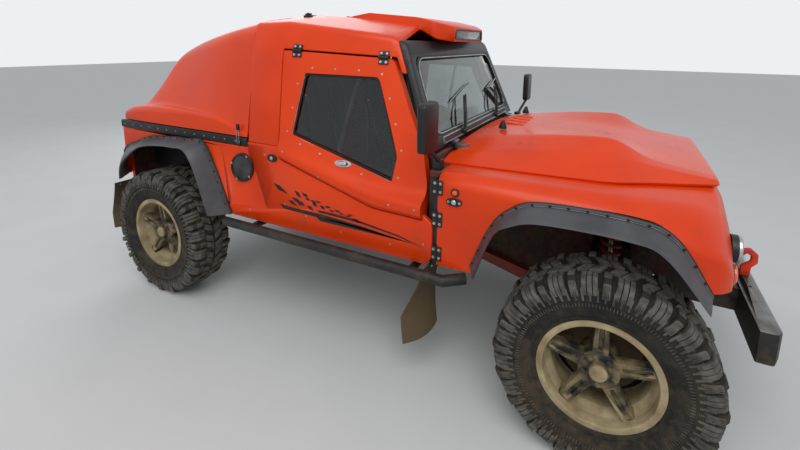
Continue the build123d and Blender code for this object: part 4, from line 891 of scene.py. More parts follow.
def wingEnd(edge, side):
    # the nose's last row, drawn out to a square so that the wing's front closes
    inner, low = wingFacts["innerY"], wingFacts["lowZ"]
    top, wide = edge[0].z - 0.002, abs(edge[-1].y) - 0.002
    row = []
    for i in range(len(edge)):
        t = i / (len(edge) - 1) * 2
        y, z = (inner, top + (low - top) * t) if t < 1 else (inner + (wide - inner) * (t - 1), low)
        row.append(Vector((wingFacts["closeX"], side * y, z)))
    return row


form = bmesh.new()
for side in bothSides:
    rows = [wingRow(wingFacts["rearX"] + 0.950 * k / 34, side) for k in range(34)]
    rows += [wingRow(wingFacts["bendX"] + 0.110 * k / 12, side) for k in range(13)]
    bend = wingFacts["noseRound"]
    for turn in (18, 36, 54, 72, 90):
        angle = math.radians(turn)
        rows.append(wingRow(wingFacts["noseX"] + bend * math.sin(angle), side, bend * (1 - math.cos(angle))))
    rows.append(wingEnd(rows[-1], side))
    # the wing's inner skin takes the dark red of painted shade
    addShell(form, rows, panelWall, (1.1, side * 0.4, 0.6), (0, 1))
bmesh.ops.remove_doubles(form, verts=form.verts, dist=1e-5)
wingMesh = meshOf(form, "wings")
cutter = bmesh.new()
shrunk = [Vector((frontAxleX + (p.x - frontAxleX) * wingFacts["archShrink"], -1, p.z - wingFacts["archDrop"]))
          for p in archLine(frontArch, frontAxleX)]
foot = wingFacts["archFoot"]
addPrism(cutter, [Vector((shrunk[0].x, -1, foot)), *shrunk, Vector((shrunk[-1].x, -1, foot))], (0, 2, 0))
wingMesh = shaded(cutBy(wingMesh, meshOf(cutter)), 50)
placed(wingMesh, "wing_panels", mainBody, ["paint", "insideShadeRed"], ["wings"])


# Flares: a bead against the body, a groove with a bright silver cord as a painted highlight, then the broad
# crowned face

flareSection = [(0.00, 0.0008), (0.00, 0.013), (0.02, 0.0195), (0.05, 0.022), (0.125, 0.022), (0.145, 0.0205),
                (0.16, 0.0165), (0.18, 0.0205), (0.22, 0.026), (0.34, 0.041), (0.52, 0.063), (0.70, 0.082),
                (0.86, 0.096), (0.96, 0.1035), (1.01, 0.106), (1.04, 0.103), (1.045, 0.094), (1.00, 0.085),
                (0.80, 0.066), (0.55, 0.042), (0.35, 0.018), (0.22, 0.004), (0.16, 0.0008)]
flareFacts = dict(lastX=1.60, highlightCordShare=0.160, highlightCordOut=0.0188, highlightCord=0.0016, seal=0.0028, sealShare=-0.01,
                  rivetShare=0.075, rivetOut=0.0222, rivetGap=0.066)


def flarePoint(body, lip, share, out, side):
    spot = body + (lip - body) * share
    wide = wingCurve(min(body.x, flareFacts["lastX"]))[3] if body.x > frontAxleX else sideY
    drawnIn = max(0.0, sideY - wide) * (1 - min(1.0, share))  # the wing narrows towards its nose
    return Vector((spot.x, side * (sideY + out - drawnIn), spot.z))


def flareLine(edges, share, out, side):
    return [flarePoint(body, lip, share, out, side) for body, lip in edges]


flares = bmesh.new()
highlightCordsAndSeals = bmesh.new()
rivets = []
for axleX, arch, lipEdge in ((frontAxleX, frontArch, frontLip), (rearAxleX, rearArch, rearLip)):
    edges = list(zip(archLine(arch, axleX), archLine(lipEdge, axleX)))
    seal = flareFacts["seal"]
    for side in bothSides:
        addRings(flares, [[flarePoint(body, lip, share, out, side) for share, out in flareSection]
                          for body, lip in edges])
        # a bright silver cord in the groove: a painted highlight along it
        addTube(highlightCordsAndSeals, flareLine(edges, flareFacts["highlightCordShare"], flareFacts["highlightCordOut"], side),
                flareFacts["highlightCord"], 6)
        addTube(highlightCordsAndSeals, flareLine(edges, flareFacts["sealShare"], seal, side), seal, 8, slot=1)
    spots = flareLine(edges, flareFacts["rivetShare"], flareFacts["rivetOut"], 1)
    rivets += [(spot, (0, 1, 0)) for spot in spacedAlong(spots, flareFacts["rivetGap"])]
finished(flares, "arch_flares", mainBody, ["blackRubber"], sharp=50, replaced=["flares"])
finished(highlightCordsAndSeals, "flare_highlight_cords_and_seals", mainBody, ["silver", "stripRubber"])
addHeads("flare_rivets", mainBody, mirroredPlaces(rivets), 0.0036, 0.0024, finish="stripRubber")

linerOutline = [(0.560, 0.49), (0.560, 1.030), (1.46, 1.000), (1.46, 0.60), (1.31, 0.60), (1.29, 0.80),
                (1.15, 0.80), (1.13, 0.49)]
linerYs = (0.418, 0.424)
liners = bmesh.new()
for side in bothSides:
    low, high = sorted(side * y for y in linerYs)
    addPrism(liners, [(x, low, z) for x, z in linerOutline], (0, high - low, 0), 0.002)
    addSideBox(liners, side, (0.552, 0.558), (linerYs[1], 0.795), (0.640, 0.998), 0.002)
# the arch liners take the dark red of painted shade
finished(liners, "inner_wings", mainBody, ["insideShadeRed"])
print("stage: bonnet, wings, canopy and flares")
print("stage: bonnet, wings, canopy and flares")


# Rubber flaps behind the wheels: their outer edges hang blown back

flapTable = [
    dict(x=0.488, inner=0.702, outer=0.866, top=0.600, lowInner=0.250, lowOuter=0.195, back=0.100, sag=0.014),
    dict(x=-1.735, inner=0.702, outer=0.925, top=0.655, lowInner=0.360, lowOuter=0.330, back=0.058, sag=0.006),
]
flapFacts = dict(wall=0.006, rows=18, columns=10, droop=0.012, bend=1.4, boltLift=0.0055, boltDrop=0.020,
                 boltShares=(0.15, 0.5, 0.85))


def flapPoint(facts, t, u, side):
    # t runs down the flap and u out across it
    droop = flapFacts["droop"] * math.sin(math.pi * u)
    low = facts["lowInner"] + (facts["lowOuter"] - facts["lowInner"]) * u - droop
    sag = facts["sag"] * math.sin(math.pi * t)
    back = facts["back"] * u * u * min(1.0, 1.5 * t) ** flapFacts["bend"] + sag
    y = facts["inner"] + (facts["outer"] - facts["inner"]) * u
    return Vector((facts["x"] - back, side * y, facts["top"] + (low - facts["top"]) * t))


flaps = bmesh.new()
flapBolts = []
for facts in flapTable:
    for side in bothSides:
        rows = [[flapPoint(facts, k / flapFacts["rows"], j / flapFacts["columns"], side)
                 for j in range(flapFacts["columns"] + 1)] for k in range(flapFacts["rows"] + 1)]
        addShell(flaps, rows, flapFacts["wall"], (facts["x"] + 0.6, side * 0.78, 0.45), (0, 0))
        for share in flapFacts["boltShares"]:
            y = facts["inner"] + (facts["outer"] - facts["inner"]) * share
            spot = (facts["x"] + flapFacts["boltLift"], side * y, facts["top"] - flapFacts["boltDrop"])
            flapBolts.append((spot, (1, 0, 0)))
finished(flaps, "rubber_flaps", mainBody, ["flapRubber"], sharp=50, replaced=["mud_flaps"])
addHeads("flap_bolts", mainBody, flapBolts, 0.006, 0.004)


# Wheels and tyres

wheelFacts = dict(rimRadius=0.165, lugFoot=0.315, lugTop=0.388, lugSide=0.1205, lugCount=20, ribCount=80)
blockFacts = dict(low=0.380, high=0.3915, row=0.030, half=0.023, lean=0.012, count=22,
                  halves=((-0.040, -0.003), (0.003, 0.040)))
brakeFacts = dict(discY=0.757, thick=0.016, capY=0.904, screwY=0.9035, screwRing=0.026, screws=10, back=0.165,
                  shieldY=0.721)
# each box of a caliper: x from its back, y, half height and edge
caliperBoxes = [((0, 0.060), (0.735, 0.754), 0.045, 0.006), ((0, 0.060), (0.776, 0.792), 0.045, 0.006),
                ((-0.006, 0.012), (0.735, 0.792), 0.040, 0.004), ((0.020, 0.135), (0.722, 0.738), 0.022, 0.004)]
shoulderProfile = [(0.322, 0.1165), (0.328, 0.1225), (0.350, 0.1250), (0.374, 0.1170), (0.388, 0.0970),
                   (0.388, 0.0580), (0.378, 0.0580), (0.378, 0.0840), (0.346, 0.1130)]


def wheelPlace(face, hub):
    # the mean radius and the mean distance from the wheel's middle of a face's corners
    corners = [face.id_data.vertices[v].co for v in face.vertices]
    radius = sum(math.hypot(p.x - hub.x, p.z - hub.z) for p in corners) / len(corners)
    return radius, sum(abs(p.y - hub.y) for p in corners) / len(corners)


def centreBlock(side):
    # a leaning tread block with a sipe on the tyre's top
    form = bmesh.new()
    half, low = blockFacts["half"], blockFacts["low"]
    y = side * blockFacts["row"]
    lean = side * blockFacts["lean"]
    for near, far in blockFacts["halves"]:
        outline = [(near + lean, y - half, low), (far + lean, y - half, low), (far - lean, y + half, low),
                   (near - lean, y + half, low)]
        addPrism(form, outline, (0, 0, blockFacts["high"] - low), 0.002)
    return meshOf(form)


def addRib(form, side, width, low, high, foot, top, shift=0.0):
    addSideBox(form, side, (shift - width / 2, shift + width / 2), (foot, top), (low, high), 0.0008)


def shoulderRib(side):
    form = bmesh.new()
    addRib(form, side, 0.007, 0.306, 0.353, 0.112, 0.1248)
    for shift in (0.006, -0.006):
        addRib(form, side, 0.0024, 0.283, 0.2975, 0.113, 0.1218, shift)
    return meshOf(form)


def lugRidges(side):
    form = bmesh.new()
    for shift in (-0.0095, -0.0032, 0.0032, 0.0095):
        addRib(form, side, 0.0036, 0.324, 0.350, 0.120, 0.1292, shift)
        addRib(form, side, 0.0036, 0.356, 0.377, 0.116, 0.1262, shift)
    return meshOf(form)


def shoulderBlock(side):
    # three ridges side by side fill the gap between two lugs
    form = bmesh.new()
    for low, high in ((-0.0275, -0.0115), (-0.0080, 0.0080), (0.0115, 0.0275)):
        addPrism(form, [(low, side * y, z) for z, y in shoulderProfile], (high - low, 0, 0), 0.0012)
    return meshOf(form)


for corner, (axleX, side) in cornerPlaces.items():
    centre = (axleX, side * wheelMidY, axleZ)
    hub = Vector(centre)

    # faces inside the rim's radius take the dark grey of painted shade
    def rimOrSpoke(face, hub=hub):
        return 0 if wheelPlace(face, hub)[0] > wheelFacts["rimRadius"] else 1

    def wallOrLug(face, hub=hub):
        radius, out = wheelPlace(face, hub)
        onLug = radius > wheelFacts["lugFoot"] and out > wheelFacts["lugSide"]
        return 1 if radius > wheelFacts["lugTop"] or onLug else 0

    softened("wheel_" + corner, ["alloy", "spokeShadeAndMud"], 0.0022, paintBy=rimOrSpoke)
    softened("tyre_" + corner, ["tyre", "treadBlock"], 0.003, limit=30, segments=1, paintBy=wallOrLug)
    blocks = [(centreBlock(row), blockFacts["count"], 0.25 * (1 - row)) for row in bothSides]
    blocks += [(shoulderRib(wall), wheelFacts["ribCount"], 0.0) for wall in bothSides]
    for wall in bothSides:
        phase = 0.0 if wall == side else 0.5
        blocks += [(lugRidges(wall), wheelFacts["lugCount"], phase),
                   (shoulderBlock(wall), wheelFacts["lugCount"], phase + 0.5)]
    treads = [grown(aroundTree, block, {"Count": count, "Phase": phase, "Centre": centre}, "treadBlock")
              for block, count, phase in blocks]
    rings = bmesh.new()
    for wall in bothSides:
        for radius, lift in ((0.3015, 0.1215), (0.236, 0.1095)):
            addLathe(rings, [(radius - 0.003, lift - 0.004), (radius + 0.003, lift - 0.004),
                             (radius + 0.0015, lift + 0.003), (radius - 0.0015, lift + 0.003)],
                     centre, (0, wall, 0), 72, loop=True)
    finished(rings, "sidewall_rings_" + corner, "wheel_" + corner, ["tyre"])
    placed(joined(treads), "tread_" + corner, "wheel_" + corner, ["treadBlock", "tyre"])

    form = bmesh.new()
    discY = side * brakeFacts["discY"] - (brakeFacts["thick"] if side < 0 else 0)
    addLathe(form, [(0.072, 0), (0.072, 0.016), (0.148, 0.016), (0.150, 0.014), (0.150, 0.002), (0.148, 0)],
             (axleX, discY, axleZ), (0, 1, 0), 48, loop=True)
    addLathe(form, [(0, 0.010), (0.012, 0.010), (0.030, 0.004), (0.034, -0.004), (0, -0.004)],
             (axleX, side * brakeFacts["capY"], axleZ), (0, side, 0), 24, slot=1)
    finished(form, "brake_disc_" + corner, "wheel_" + corner, ["castings", "alloy"])
    ring = brakeFacts["screwRing"]
    studs = [((axleX + dx, side * brakeFacts["screwY"], axleZ + dz), (0, side, 0))
             for dx, dz in ovalOf(ring, ring, brakeFacts["screws"])]
    addHeads("hub_screws_" + corner, "wheel_" + corner, studs, 0.0032, 0.004, 6)

    form = bmesh.new()
    for xs, ys, half, edge in caliperBoxes:
        xs = [axleX - brakeFacts["back"] + x for x in xs]
        addSideBox(form, side, xs, ys, (axleZ - half, axleZ + half), edge)
    addLathe(form, [(0.060, 0), (0.186, 0), (0.189, 0.006), (0.189, 0.009), (0.185, 0.003), (0.060, 0.003)],
             (axleX, side * brakeFacts["shieldY"], axleZ), (0, side, 0), 40, slot=1, loop=True)
    carrier = ("knuckle_" + sideNames[side]) if axleX > 0 else mainBody
    finished(form, "brake_caliper_" + corner, carrier, ["castings", "stripRubber"])
print("stage: wheels, tyres and brakes")


# Springs, dampers and red arms stand for the plain suspension node

springFacts = dict(y=0.455, coilRadius=0.040, wire=0.0065, turns=8.5, seat=0.0623, foot=0.014, headroom=0.03,
                   armY=0.445, armHalf=0.022, armFoot=0.0725, armLength=0.588, armTopZ=0.540)


def addArm(form, start, end, y):
    low, high = Vector((start[0], y, start[1])), Vector((end[0], y, end[1]))
    along = (high - low).normalized()
    half = springFacts["armHalf"]
    across = Vector((0, half * 0.8, 0))
    rings = []
    for t, tall in ((0, 0.8), (0.05, 1), (0.5, 1.25), (0.95, 1), (1, 0.8)):
        place = low.lerp(high, t)
        up = along.cross(Vector((0, 1, 0))).normalized() * half * tall
        rings.append([place - across - up, place + across - up, place + across + up, place - across + up])
    addRings(form, rings)
    for spot in (low + along * 0.02, high - along * 0.02):
        addLathe(form, [(0.012, -0.030), (0.026, -0.030), (0.028, -0.026), (0.028, 0.026), (0.026, 0.030),
                        (0.012, 0.030)], spot, (0, 1, 0), 20, slot=1, loop=True)


coils = []
links = bmesh.new()
for axleX, direction, topZ in ((frontAxleX, -1, 0.780), (rearAxleX, 1, 0.700)):
    lowZ = axleZ + springFacts["seat"]
    length = topZ - lowZ
    for side in bothSides:
        y = side * springFacts["y"]
        coils.append(grown(coilTree, bpy.data.meshes.new("none"), {
            "Radius": springFacts["coilRadius"], "Wire": springFacts["wire"], "Turns": springFacts["turns"],
            "Height": length - springFacts["headroom"], "Foot": (axleX, y, lowZ + springFacts["foot"]),
        }, "springRed"))
        addLathe(links, [(0, 0), (0.047, 0), (0.047, 0.006), (0.024, 0.010), (0.022, 0.11), (0.024, 0.115),
                         (0, 0.115)], (axleX, y, lowZ), (0, 0, 1), 24, slot=1)
        addLathe(links, [(0, 0.11), (0.009, 0.11), (0.009, length - 0.016), (0.046, length - 0.008),
                         (0.046, length), (0, length)], (axleX, y, lowZ), (0, 0, 1), 24, slot=2)
        near = axleX + direction * springFacts["armFoot"]
        far = near + direction * springFacts["armLength"]
        addArm(links, (near, axleZ), (far, springFacts["armTopZ"]), side * springFacts["armY"])
        xs = sorted((far - direction * 0.05, far))
        addSideBox(links, side, xs, (0.3755, 0.430), (0.522, 0.558), 0.005, slot=1)
finished(links, "arms_and_dampers", mainBody, ["springRed", "frameBlack", "silver"], replaced=["suspension"])
placed(joined(coils), "coil_springs", mainBody, ["springRed"])
print("stage: suspension")


# Body fittings on the main body

plateFacts = dict(heights=(0.978, 0.832, 0.673), xs=(0.512, 0.558), ys=(sideY + 0.0005, sideY + 0.0055),
                  half=0.033, boltXs=(0.522, 0.548), boltZ=0.019, pinX=0.533, pinY=sideY + 0.004,
                  pinHalf=0.036, pin=0.005)
fittings = bmesh.new()
plateBolts = []
for z in plateFacts["heights"]:  # hinge plates on the wing's rear edge
    for side in bothSides:
        addSideBox(fittings, side, plateFacts["xs"], plateFacts["ys"],
                   (z - plateFacts["half"], z + plateFacts["half"]), 0.0015)
        plateBolts += [((x, side * plateFacts["ys"][1], z + dz), (0, side, 0))
                       for x in plateFacts["boltXs"] for dz in (-plateFacts["boltZ"], plateFacts["boltZ"])]
        pin = [(plateFacts["pinX"], side * plateFacts["pinY"], z + end * plateFacts["pinHalf"])
               for end in (-1, 1)]
        addTube(fittings, pin, plateFacts["pin"], 10)
finished(fittings, "wing_hinge_plates", mainBody, ["frameBlack"])
addHeads("wing_hinge_bolts", mainBody, plateBolts, 0.0046, 0.004)

# turned forms as x, z, sides, slot and profile; ovals as x, z, half width, half height, lift and thickness
cutOffTurned = [
    (0.614, 0.967, 24, 0, [(0, 0), (0.018, 0), (0.019, 0.004), (0.015, 0.006), (0, 0.006)]),
    (0.614, 0.967, 20, 1, [(0, 0.005), (0.012, 0.005), (0.010, 0.011), (0.004, 0.013), (0, 0.013)]),
    (0.611, 0.925, 20, 2, [(0, 0.006), (0.011, 0.006), (0.011, 0.011), (0.008, 0.013), (0, 0.012)]),
    (-0.415, 0.981, 20, 2, [(0, 0.005), (0.010, 0.005), (0.010, 0.010), (0.006, 0.012), (0, 0.012)]),
]
cutOffOvals = [(0.611, 0.925, 0.036, 0.018, 0.0, 0.007), (-0.415, 0.981, 0.034, 0.021, -0.0005, 0.006)]
cutOffScrews = [(0.586, 0.007, 0.925), (0.636, 0.007, 0.925), (-0.469, 0.0, 0.993)]
sillSpots = [(-0.34, 0.74), (0.02, 0.66), (0.30, 0.66), (-0.60, 0.66), (-0.20, 0.70), (0.47, 0.70), (0.44, 0.62)]
buttons = bmesh.new()
buttonScrews = []
for side in bothSides:
    for x, z, sides, slot, profile in cutOffTurned:
        addLathe(buttons, profile, (x, side * sideY, z), (0, side, 0), sides, slot=slot)
    for x, z, halfWide, halfHigh, lift, thick in cutOffOvals:
        oval = [(x + dx, side * (sideY + lift), z + dz) for dx, dz in ovalOf(halfWide, halfHigh, 28)]
        addPrism(buttons, oval, (0, side * thick, 0), 0.002)
    buttonScrews += [((x, side * (sideY + lift), z), (0, side, 0)) for x, lift, z in cutOffScrews]
finished(buttons, "side_cut_offs", mainBody, ["blackPlastic", "amberLens", "silver"])
addHeads("cut_off_screws", mainBody, buttonScrews, 0.004, 0.003, 10)
sillScrews = mirroredPlaces([((x, sideY, z), (0, 1, 0)) for x, z in sillSpots])
addHeads("sill_screws", mainBody, sillScrews, 0.003, 0.0022, 10)


# The mesh vent in each recess: a ring, the mesh and its screws

ventFacts = dict(x=-0.645, z=0.896, halfX=0.077, halfZ=0.078, lift=0.003, swell=0.10, swellAt=0.7, count=48,
                 pitch=0.0105, strands=13, reach=0.09, meshRadius=0.072, fill=0.93, steps=60, wire=0.0011,
                 screwAngles=(0.95, 2.9, 4.15, 5.6))


def ventPoint(dx, dz, lift, side):
    x, z = ventFacts["x"] + dx, ventFacts["z"] + dz
    return (x, side * (recessDepthAt(z) + ventFacts["lift"] + lift), z)


def ventRim(angle, share=1.0):
    # a rounded outline, fuller at its upper front
    swell = (1 + ventFacts["swell"] * math.cos(2 * (angle - ventFacts["swellAt"]))) * share
    return (ventFacts["halfX"] * swell * math.cos(angle), ventFacts["halfZ"] * swell * math.sin(angle))


def ventStrand(k, lean):
    # the part of a slanting wire that lies inside the ring, as its two ends
    reach, radius = ventFacts["reach"], ventFacts["meshRadius"]
    start = Vector((k * ventFacts["pitch"] - reach * lean, -reach))
    end = Vector((k * ventFacts["pitch"] + reach * lean, reach))
    line = [start.lerp(end, t / ventFacts["steps"]) for t in range(ventFacts["steps"] + 1)]
    line = [p for p in line if (p.x / radius) ** 2 + (p.y / radius) ** 2 < ventFacts["fill"]]
    return (line[0], line[-1]) if len(line) > 3 else ()


vent = bmesh.new()
ventScrews = []
for side in bothSides:
    plate = [ventPoint(*ventRim(a, 0.97), 0, side) for a in turns(ventFacts["count"])]
    addPrism(vent, plate, (0, side * 0.004, 0))
    ring = [ventPoint(*ventRim(a), 0.003, side) for a in turns(ventFacts["count"])]
    addTube(vent, ring, 0.0075, 8, loop=True)
    facing = Vector((0, side, -recessFacts["fall"])).normalized()
    ventScrews += [(ventPoint(*ventRim(a), 0.0098, side), facing) for a in ventFacts["screwAngles"]]
    for k in range(-ventFacts["strands"], ventFacts["strands"] + 1):
        for lean in (-1, 1):
            ends = ventStrand(k, lean)
            if ends:
                addTube(vent, [ventPoint(p.x, p.y, 0.005, side) for p in ends], ventFacts["wire"], 4, slot=1)
finished(vent, "vent_mesh", mainBody, ["blackPlastic", "bareMetal"], replaced=["side_vents"])
addHeads("vent_screws", mainBody, ventScrews, 0.0048, 0.003)


# Rubber strip: rivets, and a toggle latch from the canopy down to it

stripFacts = dict(z=1.046, y=sideY + 0.004, tailX=-1.744, pitch=0.085, tailPitch=0.1)
stripSpots = [((-1.70 + stripFacts["pitch"] * k, stripFacts["y"], stripFacts["z"]), (0, 1, 0)) for k in range(13)]
tailSpots = [((stripFacts["tailX"], -0.75 + stripFacts["tailPitch"] * k, stripFacts["z"]), (-1, 0, 0))
             for k in range(16)]
addHeads("strip_rivets", mainBody, mirroredPlaces(stripSpots) + tailSpots, 0.0034, 0.0024)
toggleBase = bmesh.new()
toggleHook = bmesh.new()
for side in bothSides:
    addSideBox(toggleBase, side, (-0.662, -0.640), (sideY + 0.004, sideY + 0.012), (1.026, 1.060), 0.002)
    for x in (-0.659, -0.643):
        wire = [(x, side * (sideY + 0.011), 1.036), (x, side * (sideY + 0.013), 1.112)]
        addTube(toggleBase, wire, 0.0018, 6, slot=1)
    addSideBox(toggleHook, side, (-0.660, -0.642), (sideY + 0.003, sideY + 0.014), (1.108, 1.142), 0.002)
finished(toggleBase, "canopy_toggles", mainBody, ["blackPlastic", "silver"])
finished(toggleHook, "canopy_toggle_hooks", "rear_canopy", ["blackPlastic"])


# The chequered streak along each sill: leaning squares that fade into stripes

streakShapes = [
    [(-0.418, 0.845), (-0.37, 0.835), (-0.317, 0.799), (-0.38, 0.81)],
    [(-0.271, 0.827), (-0.243, 0.82), (-0.226, 0.793), (-0.256, 0.801)],
    [(-0.222, 0.824), (-0.191, 0.819), (-0.18, 0.802), (-0.211, 0.806)],
    [(-0.315, 0.767), (-0.286, 0.766), (-0.254, 0.744), (-0.295, 0.748)],
    [(-0.293, 0.785), (-0.256, 0.785), (-0.233, 0.769), (-0.265, 0.766)],
    [(-0.257, 0.768), (-0.224, 0.774), (-0.205, 0.754), (-0.242, 0.751)],
    [(-0.203, 0.798), (-0.18, 0.799), (-0.168, 0.788), (-0.192, 0.787)],
    [(-0.193, 0.757), (-0.165, 0.759), (-0.147, 0.739), (-0.178, 0.743)],
    [(-0.168, 0.794), (-0.141, 0.793), (-0.126, 0.782), (-0.149, 0.778)],
    [(-0.157, 0.78), (-0.133, 0.781), (-0.122, 0.764), (-0.146, 0.766)],
    [(-0.133, 0.797), (-0.11, 0.795), (-0.099, 0.788), (-0.122, 0.786)],
    [(-0.107, 0.776), (-0.084, 0.774), (-0.073, 0.76), (-0.096, 0.759)],
    [(-0.076, 0.779), (-0.05, 0.781), (-0.039, 0.773), (-0.065, 0.768)],
    [(-0.05, 0.765), (-0.024, 0.763), (-0.017, 0.755), (-0.039, 0.754)],
    [(-0.02, 0.77), (0.009, 0.77), (0.02, 0.762), (-0.006, 0.759)],
    [(0.009, 0.76), (0.032, 0.759), (0.041, 0.752), (0.02, 0.75)],
    [(0.041, 0.753), (0.07, 0.754), (0.088, 0.75), (0.056, 0.746)],
    [(0.061, 0.762), (0.084, 0.763), (0.094, 0.758), (0.07, 0.755)],
    [(0.088, 0.746), (0.114, 0.747), (0.124, 0.742), (0.098, 0.737)],
    [(0.103, 0.737), (0.135, 0.736), (0.15, 0.731), (0.116, 0.729)],
    [(-0.377, 0.736), (-0.328, 0.73), (-0.089, 0.728), (0.136, 0.717), (0.342, 0.696), (0.417, 0.689),
     (0.342, 0.692), (0.129, 0.701), (-0.105, 0.707), (-0.351, 0.712)],
    [(-0.132, 0.708), (-0.09, 0.71), (0.015, 0.713), (0.157, 0.709), (0.323, 0.699), (0.405, 0.691),
     (0.31, 0.691), (0.143, 0.692), (0.015, 0.691), (-0.109, 0.691)],
    [(-0.125, 0.747), (-0.028, 0.748), (0.137, 0.74), (0.342, 0.715), (0.475, 0.681),
     (0.336, 0.708), (0.13, 0.73), (-0.036, 0.735), (-0.112, 0.736)],
]
streakFacts = dict(lift=0.0004, thick=0.0007)
streak = bmesh.new()
for side in bothSides:
    for corners in streakShapes:
        outline = [(x, side * (sideY + streakFacts["lift"]), z) for x, z in corners]
        addPrism(streak, outline, (0, side * streakFacts["thick"], 0))
finished(streak, "sill_streaks", mainBody, ["stripRubber"])
print("stage: side fittings")


# Windscreen: gasket, air slot and wipers

screenNormal = Vector((1, 0, screenRake)).normalized()
screenMiddle = 1.3365
slotHalf = 0.585
# each ring: its shares of the outline's width and height, its lift, then the strip's width, height and slot
gasketRings = [(0.992, 0.978, -0.012, 0.022, 0.012, 0), (0.982, 0.956, -0.004, 0.005, 0.006, 1)]
# each bar of the air slot: its ends, then the strip's width, height and slot
slotBars = [
    ((-slotHalf, 1.139), (slotHalf, 1.139), 0.006, 0.006, 1),
    ((-slotHalf, 1.112), (slotHalf, 1.112), 0.005, 0.006, 1),
    ((-slotHalf, 1.111), (-slotHalf, 1.140), 0.006, 0.006, 1),
    ((slotHalf, 1.111), (slotHalf, 1.140), 0.006, 0.006, 1),
    ((-0.582, 1.1255), (0.582, 1.1255), 0.02, 0.002, 2),
]


def screenPoint(y, z, lift=0.0):
    return Vector((screenFoot[0] - (z - screenFoot[1]) * screenRake, y, z)) + screenNormal * lift


screenOutline = roundedOutline([(-0.654, 1.150), (0.654, 1.150), (0.597, 1.523), (-0.597, 1.523)], 0.085, 7)
gasket = bmesh.new()
for wide, high, lift, width, height, slot in gasketRings:
    ring = [screenPoint(p.x * wide, screenMiddle + (p.y - screenMiddle) * high, lift) for p in screenOutline]
    addStrip(gasket, ring, screenNormal, width, height, slot)
for start, end, width, height, slot in slotBars:
    addStrip(gasket, [screenPoint(*start), screenPoint(*end)], screenNormal, width, height, slot, loop=False)
finished(gasket, "windscreen_gasket", mainBody, ["stripRubber", "silver", "frameBlack"])

wiperSpots = [(0, 1.122, 0.010), (0.05, 1.20, 0.030), (0.16, 1.296, 0.020)]
wiper = bmesh.new()
for y in (-0.307, 0.317):
    base, elbow, tip = [screenPoint(y + dy, z, lift) for dy, z, lift in wiperSpots]
    addLathe(wiper, [(0, 0), (0.015, 0), (0.015, 0.010), (0.010, 0.016), (0, 0.016)],
             base - screenNormal * 0.006, screenNormal, 20)
    arm = smoothPath([base + screenNormal * 0.008, elbow, tip], 5)
    addTube(wiper, arm, [0.006] * 6 + [0.0045] * 5, 8)
    low, high = tip + Vector((0, -0.17, -0.02)), tip + Vector((0, 0.17, 0.05))
    blade = [low.lerp(high, t / 6) for t in range(7)]
    blade = [screenPoint(p.y, p.z, -0.010) for p in blade]
    addTube(wiper, [p + screenNormal * 0.006 for p in blade], 0.0035, 6)
    addTube(wiper, [p + screenNormal * 0.013 for p in blade[1:-1]], 0.0025, 6, slot=1)
finished(wiper, "wiper_blades", mainBody, ["stripRubber", "silver"])


# Roof: lamp bar with its reflectors and diodes, fittings ahead of the seam

lampFacts = dict(z=1.636, halfY=0.222, columns=18, rowStep=0.025, faceX=0.353, glassX=0.362, glassWide=0.97,
                 glassHigh=0.86)
bar = bmesh.new()
frameLine = roundedOutline([(-0.224, 1.609), (0.224, 1.609), (0.224, 1.663), (-0.224, 1.663)], 0.006, 3)
addStrip(bar, [(0.358, p.x, p.y) for p in frameLine], (1, 0, 0), 0.008, 0.010)
addBox(bar, (0.332, -0.2255, 1.6073), (0.352, 0.2255, 1.6647), 0.002)
for y in (-0.2305, 0.2305):
    addBox(bar, (0.345, y - 0.004, 1.612), (0.372, y + 0.004, 1.66), 0.0015)
finished(bar, "lamp_bar_housing", mainBody, ["blackPlastic"])
diode = bmesh.new()
addLathe(diode, [(0.004, 0.002), (0.0105, 0.008), (0.0115, 0.008), (0.0115, 0.0), (0.004, 0.0)], (0, 0, 0),
         (1, 0, 0), 14, loop=True)
addLathe(diode, [(0, 0.001), (0.0042, 0.001), (0.003, 0.005), (0, 0.006)], (0, 0, 0), (1, 0, 0), 10)
pitch = 2 * lampFacts["halfY"] / lampFacts["columns"]
lowRow = lampFacts["z"] - lampFacts["rowStep"] / 2
diodes = grown(gridTree, meshOf(diode), {
    "Count": lampFacts["columns"], "Rows": 2, "Step": (0, pitch, 0), "Row Step": (0, 0, lampFacts["rowStep"]),
    "Start": (lampFacts["faceX"], -lampFacts["halfY"] + pitch / 2, lowRow),
}, "silver")
placed(diodes, "lamp_bar_diodes", mainBody, ["silver"], ["lamp_bar"])
glass = bmesh.new()
pane = [(lampFacts["glassX"], p.x * lampFacts["glassWide"],
         lampFacts["z"] + (p.y - lampFacts["z"]) * lampFacts["glassHigh"]) for p in frameLine]
addPrism(glass, pane, (0.003, 0, 0), 0.0008)
finished(glass, "lamp_bar_glass", mainBody, ["lampGlass"])
roofBits = bmesh.new()
for y in (-0.43, 0.43):
    addBox(roofBits, (-0.50, y - 0.02, 1.716), (-0.46, y + 0.02, 1.742), 0.004)
    addLathe(roofBits, [(0, 0), (0.011, 0), (0.013, 0.010), (0.006, 0.016), (0, 0.016)], (-0.48, y, 1.740),
             (0, 0, 1), 16)
    addTube(roofBits, [(-0.50, y, 1.747), (-0.455, y, 1.748)], 0.005, 8)
finished(roofBits, "roof_catches", mainBody, ["blackPlastic"])
print("stage: windscreen and roof")


# Doors: window trim, screws, latch and hinge bolts, one set on each door body

